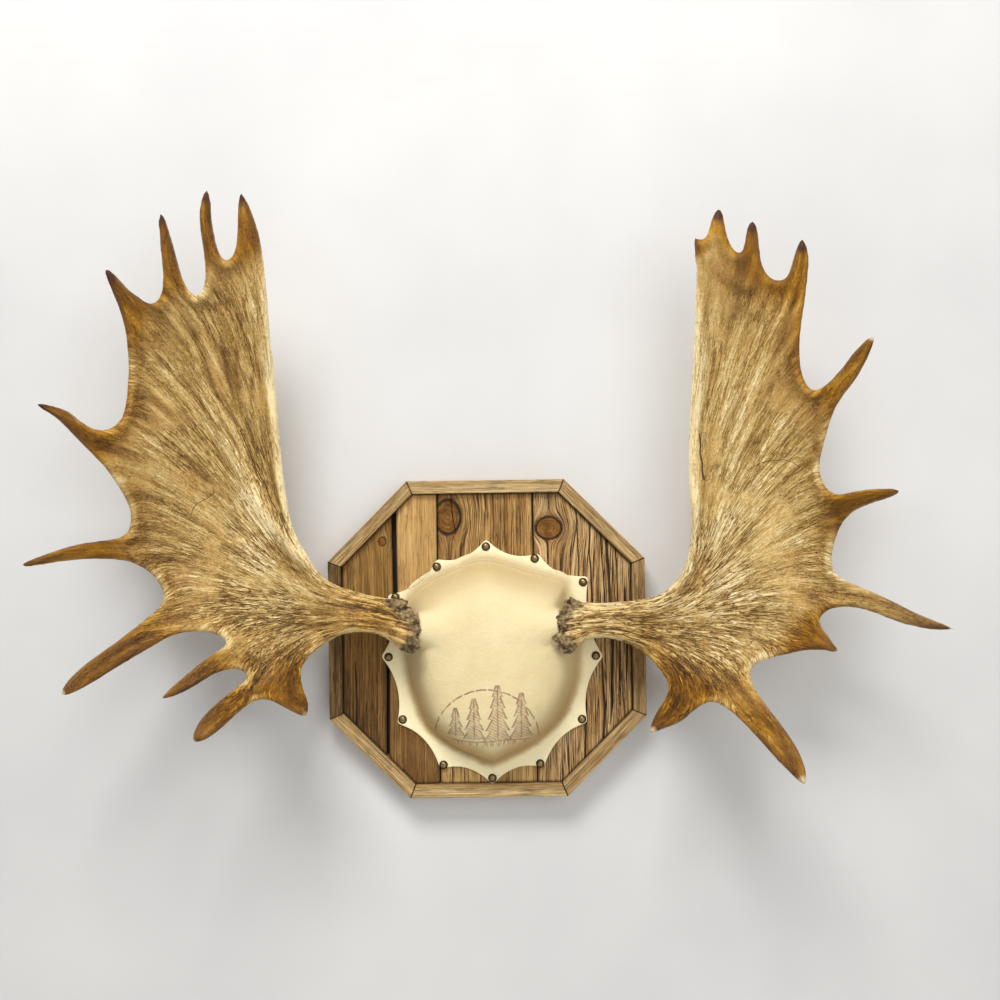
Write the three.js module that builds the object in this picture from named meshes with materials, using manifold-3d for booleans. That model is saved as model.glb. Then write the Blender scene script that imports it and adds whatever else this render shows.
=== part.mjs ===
// A pair of moose antlers on an octagonal wall plaque. Their skull plate lies under a leather cover
// that is tacked down to four old boards. Millimetres, +Z up. The wall is the plane Y = 0, the origin
// is the middle of the plaque's back, and the front faces -Y.
import * as THREE from "three";
import { LoftGeometry } from "three/addons/geometries/LoftGeometry.js";
import { mergeVertices } from "three/addons/utils/BufferGeometryUtils.js";
import Module from "manifold-3d";

const wasm = await Module();
wasm.setup();

// ---- Driving dimensions ----

const GAP = 0.3; // left between pieces that touch

const PLAQUE_SIZE = 457; // across the flats, 18 inches
const CORNER_CUT = 115; // what each cut corner takes off a side
const TRIM_WIDTH = 18.4;
const TRIM_DEPTH = 40;
const BACKING_THICKNESS = 12;
const BOARD_FACE = 31; // distance of the boards' faces from the wall

const LEATHER = 2.5;
const LEATHER_SHRINK = 0.028; // share by which the inside of the leather's dome is the smaller
const SCALLOP_SAG = 11;
const CUSP_ROUNDING = 6;
const SKULL_CENTRE_X = 3;
const DOME_PEAK = [6, -60];

const SKULL_SHRINK = 0.004; // how much smaller again the skull plate is, to clear the leather

const PEDICLE_RADIUS = 21;
const PEDICLE_Z = 20;
const PEDICLE_OUT = 82; // distance of the pedicles' axis from the wall
const PEDICLE_ROOT = 32; // where they start, from the skull's centre line
const BURR_REACH = 95; // from the skull's centre line to the burr
const FORK_X = 235; // where the beam meets the palm

const TACK_HEAD_RADIUS = 6.2;
const TACK_HEAD_HEIGHT = 3.4;
const TACK_SHANK_RADIUS = 0.8;
const TACK_SHANK_LENGTH = 12;

const SKULL_SCREW = { head: 4.5, shank: 2.3, length: 62 };
const SKULL_SCREW_SPACING = 70;
const SKULL_SCREW_Z = -20;
const SCREW_HEAD_RIM = 0.8; // height of a screw head's straight rim, over its countersunk part
const HANGER = { width: 64, height: 26, thickness: 2, z: 130, nailPocket: 6 };
const HANGER_SCREW = { head: 3.2, shank: 1.4, length: 10 };
const HANGER_SCREW_SPACING = 46;
const KEYHOLE = { head: 5, slot: 2.5, rise: 7 };

// Outlines are drawn as a viewer sees them who stands at EYE, on the plane of the trim's front.
const EYE = { x: 21, y: -1800, z: 200 };

// ---- Outlines, drawn as [x, z] ----

const TACKS = [
  [0, 133],
  [70, 115],
  [139, 80],
  [156, -26],
  [135, -117],
  [74, -180],
  [5, -200],
  [-65, -180],
  [-123, -114],
  [-142, -24],
  [-131, 62],
  [-71, 105],
];

// The points of the leather's scalloped edge, one outside each tack.
const CUSPS = [
  [0, 144],
  [76, 122],
  [147, 88],
  [167, -27],
  [143, -122],
  [79, -186],
  [5, -210],
  [-70, -186],
  [-131, -120],
  [-153, -23],
  [-143, 65],
  [-71, 116],
];

// Foot of the leather's dome, from its top point anticlockwise.
const DOME_FOOT = [
  [-2, 114],
  [-51, 99],
  [-88, 81],
  [-112, 57],
  [-118, 29],
  [-118, -7],
  [-115, -45],
  [-106, -80],
  [-91, -120],
  [-61, -149],
  [-24, -169],
  [6, -179],
  [36, -166],
  [68, -150],
  [105, -114],
  [127, -67],
  [133, -25],
  [133, 18],
  [119, 60],
  [108, 82],
  [57, 98],
];

// How the dome closes in as it rises: [share of the foot's size, height over the boards].
const DOME_PROFILE = [
  [1, 0],
  [0.96, 9],
  [0.88, 28],
  [0.76, 48],
  [0.58, 63],
  [0.33, 72],
  [0.02, 75],
];

// Edges of the four boards, each as [x, z] points from top to bottom.
const BOARD_EDGES = [
  [[[-230, 230], [-230, -230]], [[-135, 230], [-133, 72], [-145, -40], [-147, -230]]],
  [[[-130, 230], [-129, 72], [-141, -40], [-143, -230]], [[-70.5, 230], [-70.5, -230]]],
  [[[-69, 230], [-69, -230]], [[67, 230], [69.5, -230]]],
  [[[68.5, 230], [71, -230]], [[230, 230], [230, -230]]],
];

// A limb of an antler is a list of stations from its root to its tip. Each station is drawn as
// [x, z, x, z, half thickness] with the limb's two edges, and a tip is one point [x, z].
const LEFT = {
  beam: [
    [-96, 44, -97, -15, 30],
    [-107, 55, -111, -23, 37],
    [-122, 58, -126, -13, 33],
    [-136, 58, -143, 2, 27],
    [-159, 62, -163, 10, 25],
    [-188, 71, -189, 12, 25],
    [-214, 79, -218, 7, 25],
    [-234, 91, -238, -7, 22],
    [-256, 117, -261, -27, 17],
  ],
  palm: [
    [
      [-225, 83, -226, -2, 24],
      [-264, 123, -273, -15, 18],
      [-279, 169, -333, -12, 13],
      [-287, 215, -393, 9, 11],
      [-293, 273, -448, 42, 9],
      [-298, 331, -470, 84, 8],
      [-302, 380, -501, 149, 8],
      [-305, 420, -503, 221, 8],
      [-307, 449, -509, 308, 8],
      [-308, 475, -509, 380, 8],
      [-310, 504, -503, 444, 7],
      [-313, 528, -485, 483, 7],
      [-315, 547, -433, 491, 7],
      [-318, 564, -380, 529, 6],
      [-324, 573, -354, 562, 4],
    ],
    [
      [-450, 465, -510, 391, 8],
      [-467, 486, -512, 434, 9],
      [-489, 493, -520, 473, 9],
      [-507, 508, -528, 495, 8],
      [-522, 524, -536, 515, 6],
      [-542, 539],
    ],
    [
      [-424, 494, -464, 494, 8],
      [-431, 523, -460, 523, 8],
      [-439, 554, -462, 555, 8],
      [-447, 588, -464, 588, 6.5],
      [-453, 608, -465, 608, 4.5],
      [-462, 620],
    ],
    [
      [-366, 515, -402, 508, 8],
      [-374, 548, -399, 542, 8],
      [-380, 571, -403, 571, 8],
      [-387, 600, -407, 603, 8],
      [-389, 633, -405, 633, 6],
      [-395, 653],
    ],
    [
      [-313, 521, -365, 529, 7],
      [-316, 564, -354, 565, 8],
      [-321, 593, -351, 594, 8],
      [-330, 619, -350, 620, 7],
      [-339, 637, -349, 637, 4],
      [-346, 649],
    ],
    [
      [-507, 358, -503, 185, 8],
      [-524, 315, -519, 211, 9],
      [-542, 308, -536, 240, 10],
      [-561, 309, -553, 264, 10],
      [-578, 317, -571, 283, 10],
      [-596, 336, -591, 302, 9],
      [-618, 344, -614, 325, 7],
      [-635, 348, -634, 337, 5],
      [-648, 348],
    ],
    [
      [-498, 166, -461, 77, 8],
      [-515, 154, -490, 106, 9],
      [-538, 150, -533, 122, 10],
      [-563, 149, -560, 122, 10],
      [-592, 144, -589, 122, 9],
      [-625, 134, -621, 118, 7],
      [-649, 126, -645, 115, 5],
      [-671, 114],
    ],
    [
      [-413, 76, -406, 15, 9],
      [-462, 59, -442, 14, 10],
      [-485, 40, -471, 5, 11],
      [-511, 20, -500, -12, 11],
      [-543, -3, -532, -32, 11],
      [-572, -23, -561, -50, 11],
      [-596, -42, -584, -63, 9],
      [-609, -57, -600, -71, 6],
      [-613, -73],
    ],
  ],
  brow: [
    [
      [-244, 2, -341, 29, 20],
      [-258, -23, -356, -4, 15],
      [-270, -41, -352, -32, 12],
      [-266, -67, -345, -55, 10],
      [-271, -84, -334, -75, 8],
      [-292, -90, -322, -82, 6],
    ],
    [
      [-325, -49, -324, -9, 9],
      [-352, -40, -347, -9, 10],
      [-367, -37, -368, -11, 10],
      [-388, -43, -394, -17, 10],
      [-409, -54, -414, -30, 9],
      [-426, -65, -434, -45, 8],
      [-445, -76, -453, -63, 5],
      [-472, -82],
    ],
    [
      [-311, -84, -331, -38, 9],
      [-334, -84, -348, -52, 10],
      [-354, -96, -371, -72, 11],
      [-375, -116, -390, -87, 11],
      [-394, -132, -408, -103, 10],
      [-410, -140, -421, -119, 7],
      [-426, -146],
    ],
    [
      [-265, -56, -311, -62, 10],
      [-262, -79, -307, -87, 9],
      [-259, -90, -285, -100, 8],
      [-263, -108],
    ],
  ],
};

const RIGHT = {
  beam: [
    [101, 37, 105, -12, 28],
    [113, 54, 116, -25, 37],
    [126, 56, 131, -14, 32],
    [143, 50, 145, -2, 26],
    [169, 50, 168, 0, 24.5],
    [198, 52, 197, -7, 25],
    [224, 53, 220, -21, 24],
    [244, 58, 237, -34, 21],
    [261, 67, 254, -57, 17],
  ],
  palm: [
    [
      [230, 53, 229, -22, 23],
      [256, 62, 260, -51, 18],
      [279, 87, 306, -56, 13],
      [291, 115, 356, -53, 11],
      [296, 153, 414, -30, 9],
      [296, 189, 468, 0, 8],
      [294, 225, 484, 49, 8],
      [293, 261, 498, 107, 8],
      [295, 297, 499, 157, 8],
      [297, 333, 485, 225, 8],
      [300, 376, 485, 265, 8],
      [303, 419, 473, 337, 8],
      [307, 469, 459, 410, 7],
      [308, 505, 454, 475, 7],
      [308, 538, 426, 508, 7],
      [307, 559, 389, 546, 6],
      [306, 570, 365, 555, 5],
    ],
    [
      [305, 539, 318, 538, 6],
      [305, 567, 313, 566, 4],
      [306, 575],
    ],
    [
      [318, 538, 361, 529, 7],
      [322, 570, 355, 568, 8],
      [328, 590, 351, 587, 7],
      [333, 606, 349, 603, 5.5],
      [343, 616],
    ],
    [
      [374, 519, 407, 511, 7],
      [378, 555, 401, 546, 8],
      [381, 578, 399, 572, 6.5],
      [385, 592, 395, 589, 4.5],
      [391, 598],
    ],
    [
      [422, 456, 461, 456, 8],
      [432, 496, 466, 493, 9],
      [444, 525, 471, 528, 9],
      [451, 551, 470, 549, 7],
      [458, 565, 467, 562, 4.5],
      [462, 570],
    ],
    [
      [448, 352, 486, 258, 8],
      [471, 350, 498, 308, 9],
      [492, 357, 514, 340, 10],
      [508, 372, 529, 358, 9],
      [525, 394, 544, 380, 8],
      [540, 413, 556, 401, 7],
      [562, 428],
    ],
    [
      [485, 225, 499, 128, 8],
      [495, 205, 510, 155, 9],
      [514, 201, 528, 175, 10],
      [536, 206, 548, 184, 9],
      [560, 210, 569, 190, 8],
      [580, 209, 586, 195, 6],
      [598, 205],
    ],
    [
      [481, 100, 477, 23, 8],
      [501, 91, 489, 33, 9],
      [521, 75, 515, 40, 10],
      [544, 66, 540, 37, 10],
      [570, 55, 566, 28, 10],
      [600, 39, 595, 15, 9],
      [631, 23, 626, 6, 7],
      [655, 13, 652, 3, 4.5],
      [674, 4],
    ],
    [
      [451, 32, 436, -29, 8],
      [478, 22, 459, -23, 9],
      [490, 0, 478, -23, 7],
      [499, -14, 492, -24, 4.5],
      [505, -25],
    ],
  ],
  brow: [
    [
      [232, -5, 357, -24, 18],
      [246, -40, 378, -47, 14],
      [260, -63, 381, -67, 11],
      [270, -80, 375, -85, 10],
      [305, -95, 343, -99, 7],
    ],
    [
      [381, -65, 331, -96, 9],
      [388, -82, 350, -107, 11],
      [403, -105, 371, -130, 12],
      [422, -129, 397, -157, 12],
      [440, -155, 419, -184, 11],
      [451, -176, 439, -205, 9],
      [457, -195, 449, -212, 6],
      [456, -218],
    ],
    [
      [260, -63, 313, -92, 9],
      [258, -86, 291, -111, 10],
      [248, -100, 273, -126, 9],
      [237, -119, 254, -133, 7],
      [233, -140],
    ],
  ],
};

// How far the antlers stand out from the wall, as [x, z, out] points on each sheet of bone.
LEFT.mainSheet = [
  [-114, 19, 82],
  [-183, 41, 84],
  [-254, 45, 92],
  [-340, 89, 100],
  [-275, 146, 112],
  [-297, 319, 120],
  [-310, 492, 150],
  [-411, 162, 95],
  [-402, 306, 105],
  [-400, 450, 135],
  [-466, 59, 122],
  [-511, 159, 135],
  [-513, 293, 148],
  [-511, 380, 150],
  [-542, 539, 200],
  [-463, 618, 190],
  [-395, 652, 185],
  [-347, 648, 180],
  [-646, 347, 250],
  [-582, 294, 195],
  [-670, 114, 260],
  [-585, 133, 200],
  [-613, -71, 240],
  [-529, -9, 178],
  [-442, 33, 128],
  [-342, -11, 108],
];
LEFT.browSheet = [
  [-243, 9, 94],
  [-313, 3, 118],
  [-270, -38, 135],
  [-320, -33, 150],
  [-359, -26, 165],
  [-469, -82, 225],
  [-392, -32, 185],
  [-426, -144, 255],
  [-372, -100, 212],
  [-264, -105, 235],
  [-288, -81, 190],
  [-335, -69, 172],
];
RIGHT.mainSheet = [
  [118, 18, 82],
  [177, 25, 84],
  [242, 21, 92],
  [336, 51, 100],
  [295, 196, 118],
  [295, 282, 122],
  [306, 484, 150],
  [387, 108, 98],
  [382, 267, 105],
  [377, 440, 135],
  [492, 107, 138],
  [483, 236, 142],
  [460, 381, 155],
  [342, 614, 185],
  [391, 596, 187],
  [461, 568, 195],
  [562, 427, 240],
  [513, 359, 190],
  [596, 205, 250],
  [525, 188, 175],
  [674, 5, 255],
  [581, 39, 190],
  [505, -25, 185],
  [480, 23, 145],
  [364, -36, 105],
];
RIGHT.browSheet = [
  [235, -5, 94],
  [306, -8, 100],
  [357, -22, 108],
  [260, -66, 130],
  [313, -70, 138],
  [370, -62, 138],
  [233, -137, 228],
  [276, -106, 180],
  [455, -215, 265],
  [398, -133, 208],
];

// ---- Materials ----

const materialOf = (color, roughness, metalness = 0) =>
  new THREE.MeshStandardMaterial({ color, roughness, metalness });

const antlerMaterial = materialOf(0xb08a4e, 0.55);
const boneMaterial = materialOf(0xd8cba8, 0.7);
const leatherMaterial = materialOf(0xe9d9a6, 0.6);
const brassMaterial = materialOf(0x6d5a33, 0.35, 0.9);
const boardMaterial = materialOf(0x8a6a42, 0.8);
const trimMaterial = materialOf(0xa98a5e, 0.75);
const backingMaterial = materialOf(0xc9a978, 0.8);
const steelMaterial = materialOf(0x9a9c9e, 0.35, 0.9);

// ---- Solids ----

// Turns a closed geometry into a solid with its faces outwards, whichever way its profile runs.
function solid(geometry) {
  const bare = new THREE.BufferGeometry();
  bare.setAttribute("position", geometry.getAttribute("position"));
  bare.setIndex(geometry.getIndex());
  const merged = mergeVertices(bare);
  const vertProperties = merged.attributes.position.array;
  const triVerts = new Uint32Array(merged.index.array);
  const made = new wasm.Manifold(new wasm.Mesh({ numProp: 3, vertProperties, triVerts }));
  if (made.volume() > 0) {
    return made;
  }
  triVerts.reverse();
  return new wasm.Manifold(new wasm.Mesh({ numProp: 3, vertProperties, triVerts }));
}

const join = (solids) => solids.reduce((all, one) => all.add(one));
const cut = (body, cutters) => cutters.reduce((left, one) => left.subtract(one), body);
const largest = (body) =>
  body.decompose().reduce((best, one) => (one.volume() > best.volume() ? one : best));

const group = new THREE.Group();

function addMesh(name, body, material) {
  const { vertProperties, triVerts } = body.getMesh();
  const geometry = new THREE.BufferGeometry();
  geometry.setAttribute("position", new THREE.BufferAttribute(vertProperties, 3));
  geometry.setIndex(new THREE.BufferAttribute(triVerts, 1));
  geometry.computeVertexNormals();
  const mesh = new THREE.Mesh(geometry, material);
  mesh.name = name;
  group.add(mesh);
}

// A flat outline of [x, z] points, thick from one distance from the wall to another.
function slab(outline, from, to) {
  const shape = outline.getPoints ? outline : new THREE.Shape(outline.map((p) => new THREE.Vector2(...p)));
  const settings = { depth: to - from, bevelEnabled: false, curveSegments: 2 };
  const geometry = new THREE.ExtrudeGeometry(shape, settings);
  geometry.rotateX(Math.PI / 2);
  geometry.translate(0, -from, 0);
  return solid(geometry);
}

// A rectangle, from its lowest to its highest corner.
const rectangle = (x1, z1, x2, z2) => [[x1, z1], [x2, z1], [x2, z2], [x1, z2]];

// A turned piece at [x, z], with its profile as [radius, distance from the wall] from axis to axis.
function turned(profile, x, z, sides) {
  const geometry = new THREE.LatheGeometry(profile.map((p) => new THREE.Vector2(...p)), sides);
  geometry.rotateX(Math.PI);
  geometry.translate(x, 0, z);
  return solid(geometry);
}

// Brings a drawn point to a distance out from the wall, along the viewer's line of sight.
function place(x, z, out) {
  const scale = (-EYE.y - out) / (-EYE.y - TRIM_DEPTH);
  return new THREE.Vector3(EYE.x + (x - EYE.x) * scale, -out, EYE.z + (z - EYE.z) * scale);
}

function onBoards([x, z]) {
  const point = place(x, z, BOARD_FACE);
  return [point.x, point.z];
}

// ---- Plaque ----

// Corners of the octagon, brought in by an inset, clockwise from the top edge's left end.
function octagon(inset) {
  const reach = PLAQUE_SIZE / 2 - inset;
  const corner = PLAQUE_SIZE / 2 - CORNER_CUT - inset * Math.tan(Math.PI / 8);
  return [
    [-corner, reach],
    [corner, reach],
    [reach, corner],
    [reach, -corner],
    [corner, -reach],
    [-corner, -reach],
    [-reach, -corner],
    [-reach, corner],
  ];
}

// One mitred strip between two corners, shortened by half a gap at each mitre.
function trimStrip(side) {
  const next = (side + 1) % 8;
  const outer = octagon(0);
  const inner = octagon(TRIM_WIDTH);
  const from = new THREE.Vector2(...outer[side]);
  const to = new THREE.Vector2(...outer[next]);
  const shift = to.clone().sub(from).setLength(GAP / 2 / Math.cos(Math.PI / 8));
  const moved = ([x, z], sign) => [x + sign * shift.x, z + sign * shift.y];
  const outline = [
    moved(outer[side], 1),
    moved(outer[next], -1),
    moved(inner[next], -1),
    moved(inner[side], 1),
  ];
  return slab(outline, 0, TRIM_DEPTH);
}

const screwProfile = ({ head, shank, length }, start, grow) => [
  [0, start - grow],
  [head + grow, start - grow],
  [head + grow, start + SCREW_HEAD_RIM],
  [shank + grow, start + SCREW_HEAD_RIM + head - shank],
  [shank + grow, start + length + grow],
  [0, start + length + grow],
];

const skullScrewPlaces = [-1, 1].map((side) => [
  SKULL_CENTRE_X + (side * SKULL_SCREW_SPACING) / 2,
  SKULL_SCREW_Z,
]);
const hangerScrewPlaces = [-1, 1].map((side) => [(side * HANGER_SCREW_SPACING) / 2, HANGER.z]);

const skullScrew = ([x, z], grow = 0) => turned(screwProfile(SKULL_SCREW, 1, grow), x, z, 8);
const hangerScrew = ([x, z], grow = 0) => turned(screwProfile(HANGER_SCREW, 0.2, grow), x, z, 8);
const skullScrewHoles = skullScrewPlaces.map((at) => skullScrew(at, GAP));
const hangerScrewHoles = hangerScrewPlaces.map((at) => hangerScrew(at, GAP));

// The tacks are driven through the leather into the boards.
const tackBase = BOARD_FACE + GAP + LEATHER + GAP;
const tackProfile = [
  [0, tackBase - TACK_SHANK_LENGTH],
  [TACK_SHANK_RADIUS, tackBase - TACK_SHANK_LENGTH + 2],
  [TACK_SHANK_RADIUS, tackBase],
  [TACK_HEAD_RADIUS, tackBase],
  [TACK_HEAD_RADIUS * 0.95, tackBase + TACK_HEAD_HEIGHT * 0.4],
  [TACK_HEAD_RADIUS * 0.65, tackBase + TACK_HEAD_HEIGHT * 0.85],
  [0, tackBase + TACK_HEAD_HEIGHT],
];
const tackHoleProfile = [
  [0, tackBase - TACK_SHANK_LENGTH - GAP],
  [TACK_SHANK_RADIUS + GAP, tackBase - TACK_SHANK_LENGTH - GAP],
  [TACK_SHANK_RADIUS + GAP, tackBase + 1],
  [0, tackBase + 1],
];
const tackPlaces = TACKS.map(onBoards);
const tackHoles = tackPlaces.map(([x, z]) => turned(tackHoleProfile, x, z, 6));

function backingBoard() {
  const board = slab(octagon(TRIM_WIDTH + GAP), 0, BACKING_THICKNESS);
  const { width, height, thickness, z, nailPocket } = HANGER;
  const [halfWidth, halfHeight] = [width / 2 + GAP, height / 2 + GAP];
  const recess = slab(rectangle(-halfWidth, z - halfHeight, halfWidth, z + halfHeight), -1, thickness + GAP);
  const pocketReach = KEYHOLE.head + 1;
  const pocket = slab(
    rectangle(-pocketReach, z - halfHeight + 2, pocketReach, z + halfHeight - 2),
    -1,
    thickness + nailPocket,
  );
  return cut(board, [recess, pocket, ...skullScrewHoles, ...hangerScrewHoles]);
}

function hangerPlate() {
  const { width, height, thickness, z } = HANGER;
  const plate = slab(rectangle(-width / 2, z - height / 2, width / 2, z + height / 2), 0, thickness);
  const [below, above] = [-1, 2 * thickness]; // the cuts run past both faces of the plate
  const eyeZ = z - KEYHOLE.rise / 2;
  const slotTop = z + KEYHOLE.head;
  const roundProfile = [[0, below], [KEYHOLE.head, below], [KEYHOLE.head, above], [0, above]];
  const keyholeEye = turned(roundProfile, 0, eyeZ, 12);
  const slot = slab(rectangle(-KEYHOLE.slot, eyeZ, KEYHOLE.slot, slotTop), below, above);
  return cut(plate, [keyholeEye, slot, ...hangerScrewHoles]);
}

const withinTrim = slab(octagon(TRIM_WIDTH + GAP), BACKING_THICKNESS + GAP, BOARD_FACE);

function board([leftEdge, rightEdge]) {
  const outline = [...leftEdge, ...[...rightEdge].reverse()].map(onBoards);
  const plank = slab(outline, 0, 2 * BOARD_FACE).intersect(withinTrim);
  return cut(plank, [...skullScrewHoles, ...tackHoles]);
}

// ---- Leather and skull plate ----

// A dome over the foot's outline, made smaller by a share of its size and lower by a drop.
function dome(shrink, drop) {
  const foot = new THREE.CatmullRomCurve3(DOME_FOOT.map(([x, z]) => new THREE.Vector3(x, 0, z)), true);
  const outline = foot.getPoints(20).slice(0, -1);
  const sections = DOME_PROFILE.map(([size, rise]) =>
    outline.map((point) => {
      const scale = size * (1 - shrink);
      const x = DOME_PEAK[0] + (point.x - DOME_PEAK[0]) * scale;
      const z = DOME_PEAK[1] + (point.z - DOME_PEAK[1]) * scale;
      return new THREE.Vector3(x, drop - BOARD_FACE - rise, z);
    }),
  );
  return solid(new LoftGeometry(sections, { capStart: true, capEnd: true }));
}

// Both pedicles, as round stubs that run sideways out of the skull to a reach from its centre line.
function pedicles(radius, reach) {
  const profile = [
    [0, PEDICLE_ROOT],
    [radius * 0.7, PEDICLE_ROOT + 6],
    [radius, PEDICLE_ROOT + 22],
    [radius, reach],
    [0, reach],
  ];
  const stubs = [-1, 1].map((side) => {
    const stub = new THREE.LatheGeometry(profile.map((p) => new THREE.Vector2(...p)), 16);
    stub.rotateZ((-side * Math.PI) / 2);
    stub.translate(SKULL_CENTRE_X, -PEDICLE_OUT, PEDICLE_Z);
    return solid(stub);
  });
  return join(stubs);
}

const farSide = 400;
const underBoards = slab(rectangle(-farSide, -farSide, farSide, farSide), 0, BOARD_FACE + GAP);

// The leather's rim: concave scallops between rounded cusps.
function scallopedOutline() {
  const shape = new THREE.Shape();
  const cusps = CUSPS.map((point) => new THREE.Vector2(...onBoards(point)));
  const centre = new THREE.Vector2(SKULL_CENTRE_X, DOME_PEAK[1] / 2);
  cusps.forEach((cusp, i) => {
    const next = cusps[(i + 1) % cusps.length];
    const middle = cusp.clone().add(next).divideScalar(2);
    const inward = centre.clone().sub(middle).setLength(2 * SCALLOP_SAG);
    const control = middle.add(inward);
    const leave = cusp.clone().add(control.clone().sub(cusp).setLength(CUSP_ROUNDING));
    const arrive = next.clone().add(control.clone().sub(next).setLength(CUSP_ROUNDING));
    if (i === 0) {
      shape.moveTo(leave.x, leave.y);
    } else {
      shape.quadraticCurveTo(cusp.x, cusp.y, leave.x, leave.y);
    }
    shape.quadraticCurveTo(control.x, control.y, arrive.x, arrive.y);
  });
  shape.quadraticCurveTo(cusps[0].x, cusps[0].y, shape.curves[0].v0.x, shape.curves[0].v0.y);
  return shape;
}

function leatherCover() {
  const rim = slab(scallopedOutline(), BOARD_FACE, BOARD_FACE + GAP + LEATHER);
  const sleeves = pedicles(PEDICLE_RADIUS + GAP + LEATHER, BURR_REACH - GAP);
  const outside = join([dome(0, 0), sleeves, rim]);
  const inside = join([dome(LEATHER_SHRINK, LEATHER), pedicles(PEDICLE_RADIUS + GAP, BURR_REACH + 1)]);
  return largest(cut(outside, [inside, underBoards, ...tackHoles]));
}

function skullPlate() {
  const top = dome(LEATHER_SHRINK + SKULL_SHRINK, LEATHER + GAP);
  const bone = join([top, pedicles(PEDICLE_RADIUS, BURR_REACH - GAP)]);
  return cut(bone, [underBoards, ...skullScrewHoles]);
}

// ---- Antlers ----

// A smooth sheet through [x, z, out] points, as a function: the thin plate that bends least.
function sheetThrough(points) {
  const kernel = (x, z) => {
    const squared = (x * x + z * z) / 1e4;
    return squared > 0 ? squared * Math.log(squared) : 0;
  };
  const plane = ([x, z]) => [1, x / 100, z / 100];
  const rows = points.map((p) => [...points.map((q) => kernel(p[0] - q[0], p[1] - q[1])), ...plane(p), p[2]]);
  for (let k = 0; k < 3; k++) {
    rows.push([...points.map((q) => plane(q)[k]), 0, 0, 0, 0]);
  }
  const weights = solveLinear(rows);
  return (x, z) => {
    const bent = points.reduce((sum, q, i) => sum + weights[i] * kernel(x - q[0], z - q[1]), 0);
    return plane([x, z]).reduce((sum, value, k) => sum + value * weights[points.length + k], bent);
  };
}

// Solves rows of [coefficients..., right side] by elimination with pivots.
function solveLinear(rows) {
  const size = rows.length;
  for (let column = 0; column < size; column++) {
    let pivot = column;
    for (let r = column + 1; r < size; r++) {
      if (Math.abs(rows[r][column]) > Math.abs(rows[pivot][column])) {
        pivot = r;
      }
    }
    [rows[column], rows[pivot]] = [rows[pivot], rows[column]];
    for (let r = 0; r < size; r++) {
      if (r !== column) {
        const factor = rows[r][column] / rows[column][column];
        rows[r] = rows[r].map((value, c) => value - factor * rows[column][c]);
      }
    }
  }
  return rows.map((row, r) => row[size] / row[r]);
}

const FLATNESS = 0.75; // 1 gives an oval section, less a flatter one
const TIP_RADIUS = 1.2;

// Whether a limb's first edge lies on the right of the way from its root to its tip.
function runsRightHanded([first, second]) {
  const heading = [second[0] + second[2] - first[0] - first[2], second[1] + second[3] - first[1] - first[3]];
  const across = [first[2] - first[0], first[3] - first[1]];
  return heading[0] * across[1] - heading[1] * across[0] > 0;
}

// A limb bends with its sheet, and a grown one is larger all round.
function limb(sheet, stations, sides, grow = 0) {
  const sections = stations.map((station, index) => {
    let [x1, z1, x2, z2, half] = station;
    if (station.length === 2) {
      const before = stations[index - 1];
      const along = new THREE.Vector2(before[2] - before[0], before[3] - before[1]).setLength(TIP_RADIUS);
      [x2, z2, half] = [x1 + along.x, z1 + along.y, TIP_RADIUS];
      [x1, z1] = [x1 - along.x, z1 - along.y];
    }
    const widen = grow / Math.hypot(x2 - x1, z2 - z1);
    return Array.from({ length: sides }, (_, i) => {
      const angle = (2 * Math.PI * i) / sides;
      const share = 0.5 - (0.5 + widen) * Math.cos(angle);
      const lift = (half + grow) * Math.sign(Math.sin(angle)) * Math.abs(Math.sin(angle)) ** FLATNESS;
      const [x, z] = [x1 + (x2 - x1) * share, z1 + (z2 - z1) * share];
      return place(x, z, sheet(x, z) + lift);
    });
  });
  if (runsRightHanded(stations)) {
    sections.forEach((section) => section.reverse());
  }
  return solid(new LoftGeometry(sections, { capStart: true, capEnd: true }));
}

const BEAM_SIDES = 14;
const PALM_SIDES = 14;
const TINE_SIDES = 8;

// The palm or brow palm: its sheet and its tines, as one body.
function palm(sheet, [main, ...tines], grow = 0) {
  return join([
    limb(sheet, main, PALM_SIDES, grow),
    ...tines.map((tine) => limb(sheet, tine, TINE_SIDES, grow)),
  ]);
}

// Everything further from the skull's centre line than a distance, on one side of it.
function beyond(side, distance) {
  const [near, far] = [side * distance, side * 900];
  return slab(rectangle(Math.min(near, far), -900, Math.max(near, far), 900), -900, 900);
}

function addAntler(name, side, antler) {
  const mainSheet = sheetThrough(antler.mainSheet);
  const browSheet = sheetThrough(antler.browSheet);
  const burrX = BURR_REACH + side * SKULL_CENTRE_X;
  const beam = limb(mainSheet, antler.beam, BEAM_SIDES).intersect(beyond(side, burrX));
  const leatherRoom = dome(-0.006, -2 * GAP);
  const browRoom = palm(mainSheet, antler.palm, GAP).add(limb(mainSheet, antler.beam, BEAM_SIDES, GAP));
  addMesh(
    name + "_beam",
    largest(cut(beam, [beyond(side, FORK_X - GAP / 2), leatherRoom])),
    antlerMaterial,
  );
  addMesh(
    name + "_palm",
    largest(palm(mainSheet, antler.palm).intersect(beyond(side, FORK_X + GAP / 2))),
    antlerMaterial,
  );
  addMesh(name + "_brow_palm", largest(cut(palm(browSheet, antler.brow), [browRoom])), antlerMaterial);
}

// ---- Assembly ----

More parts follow.
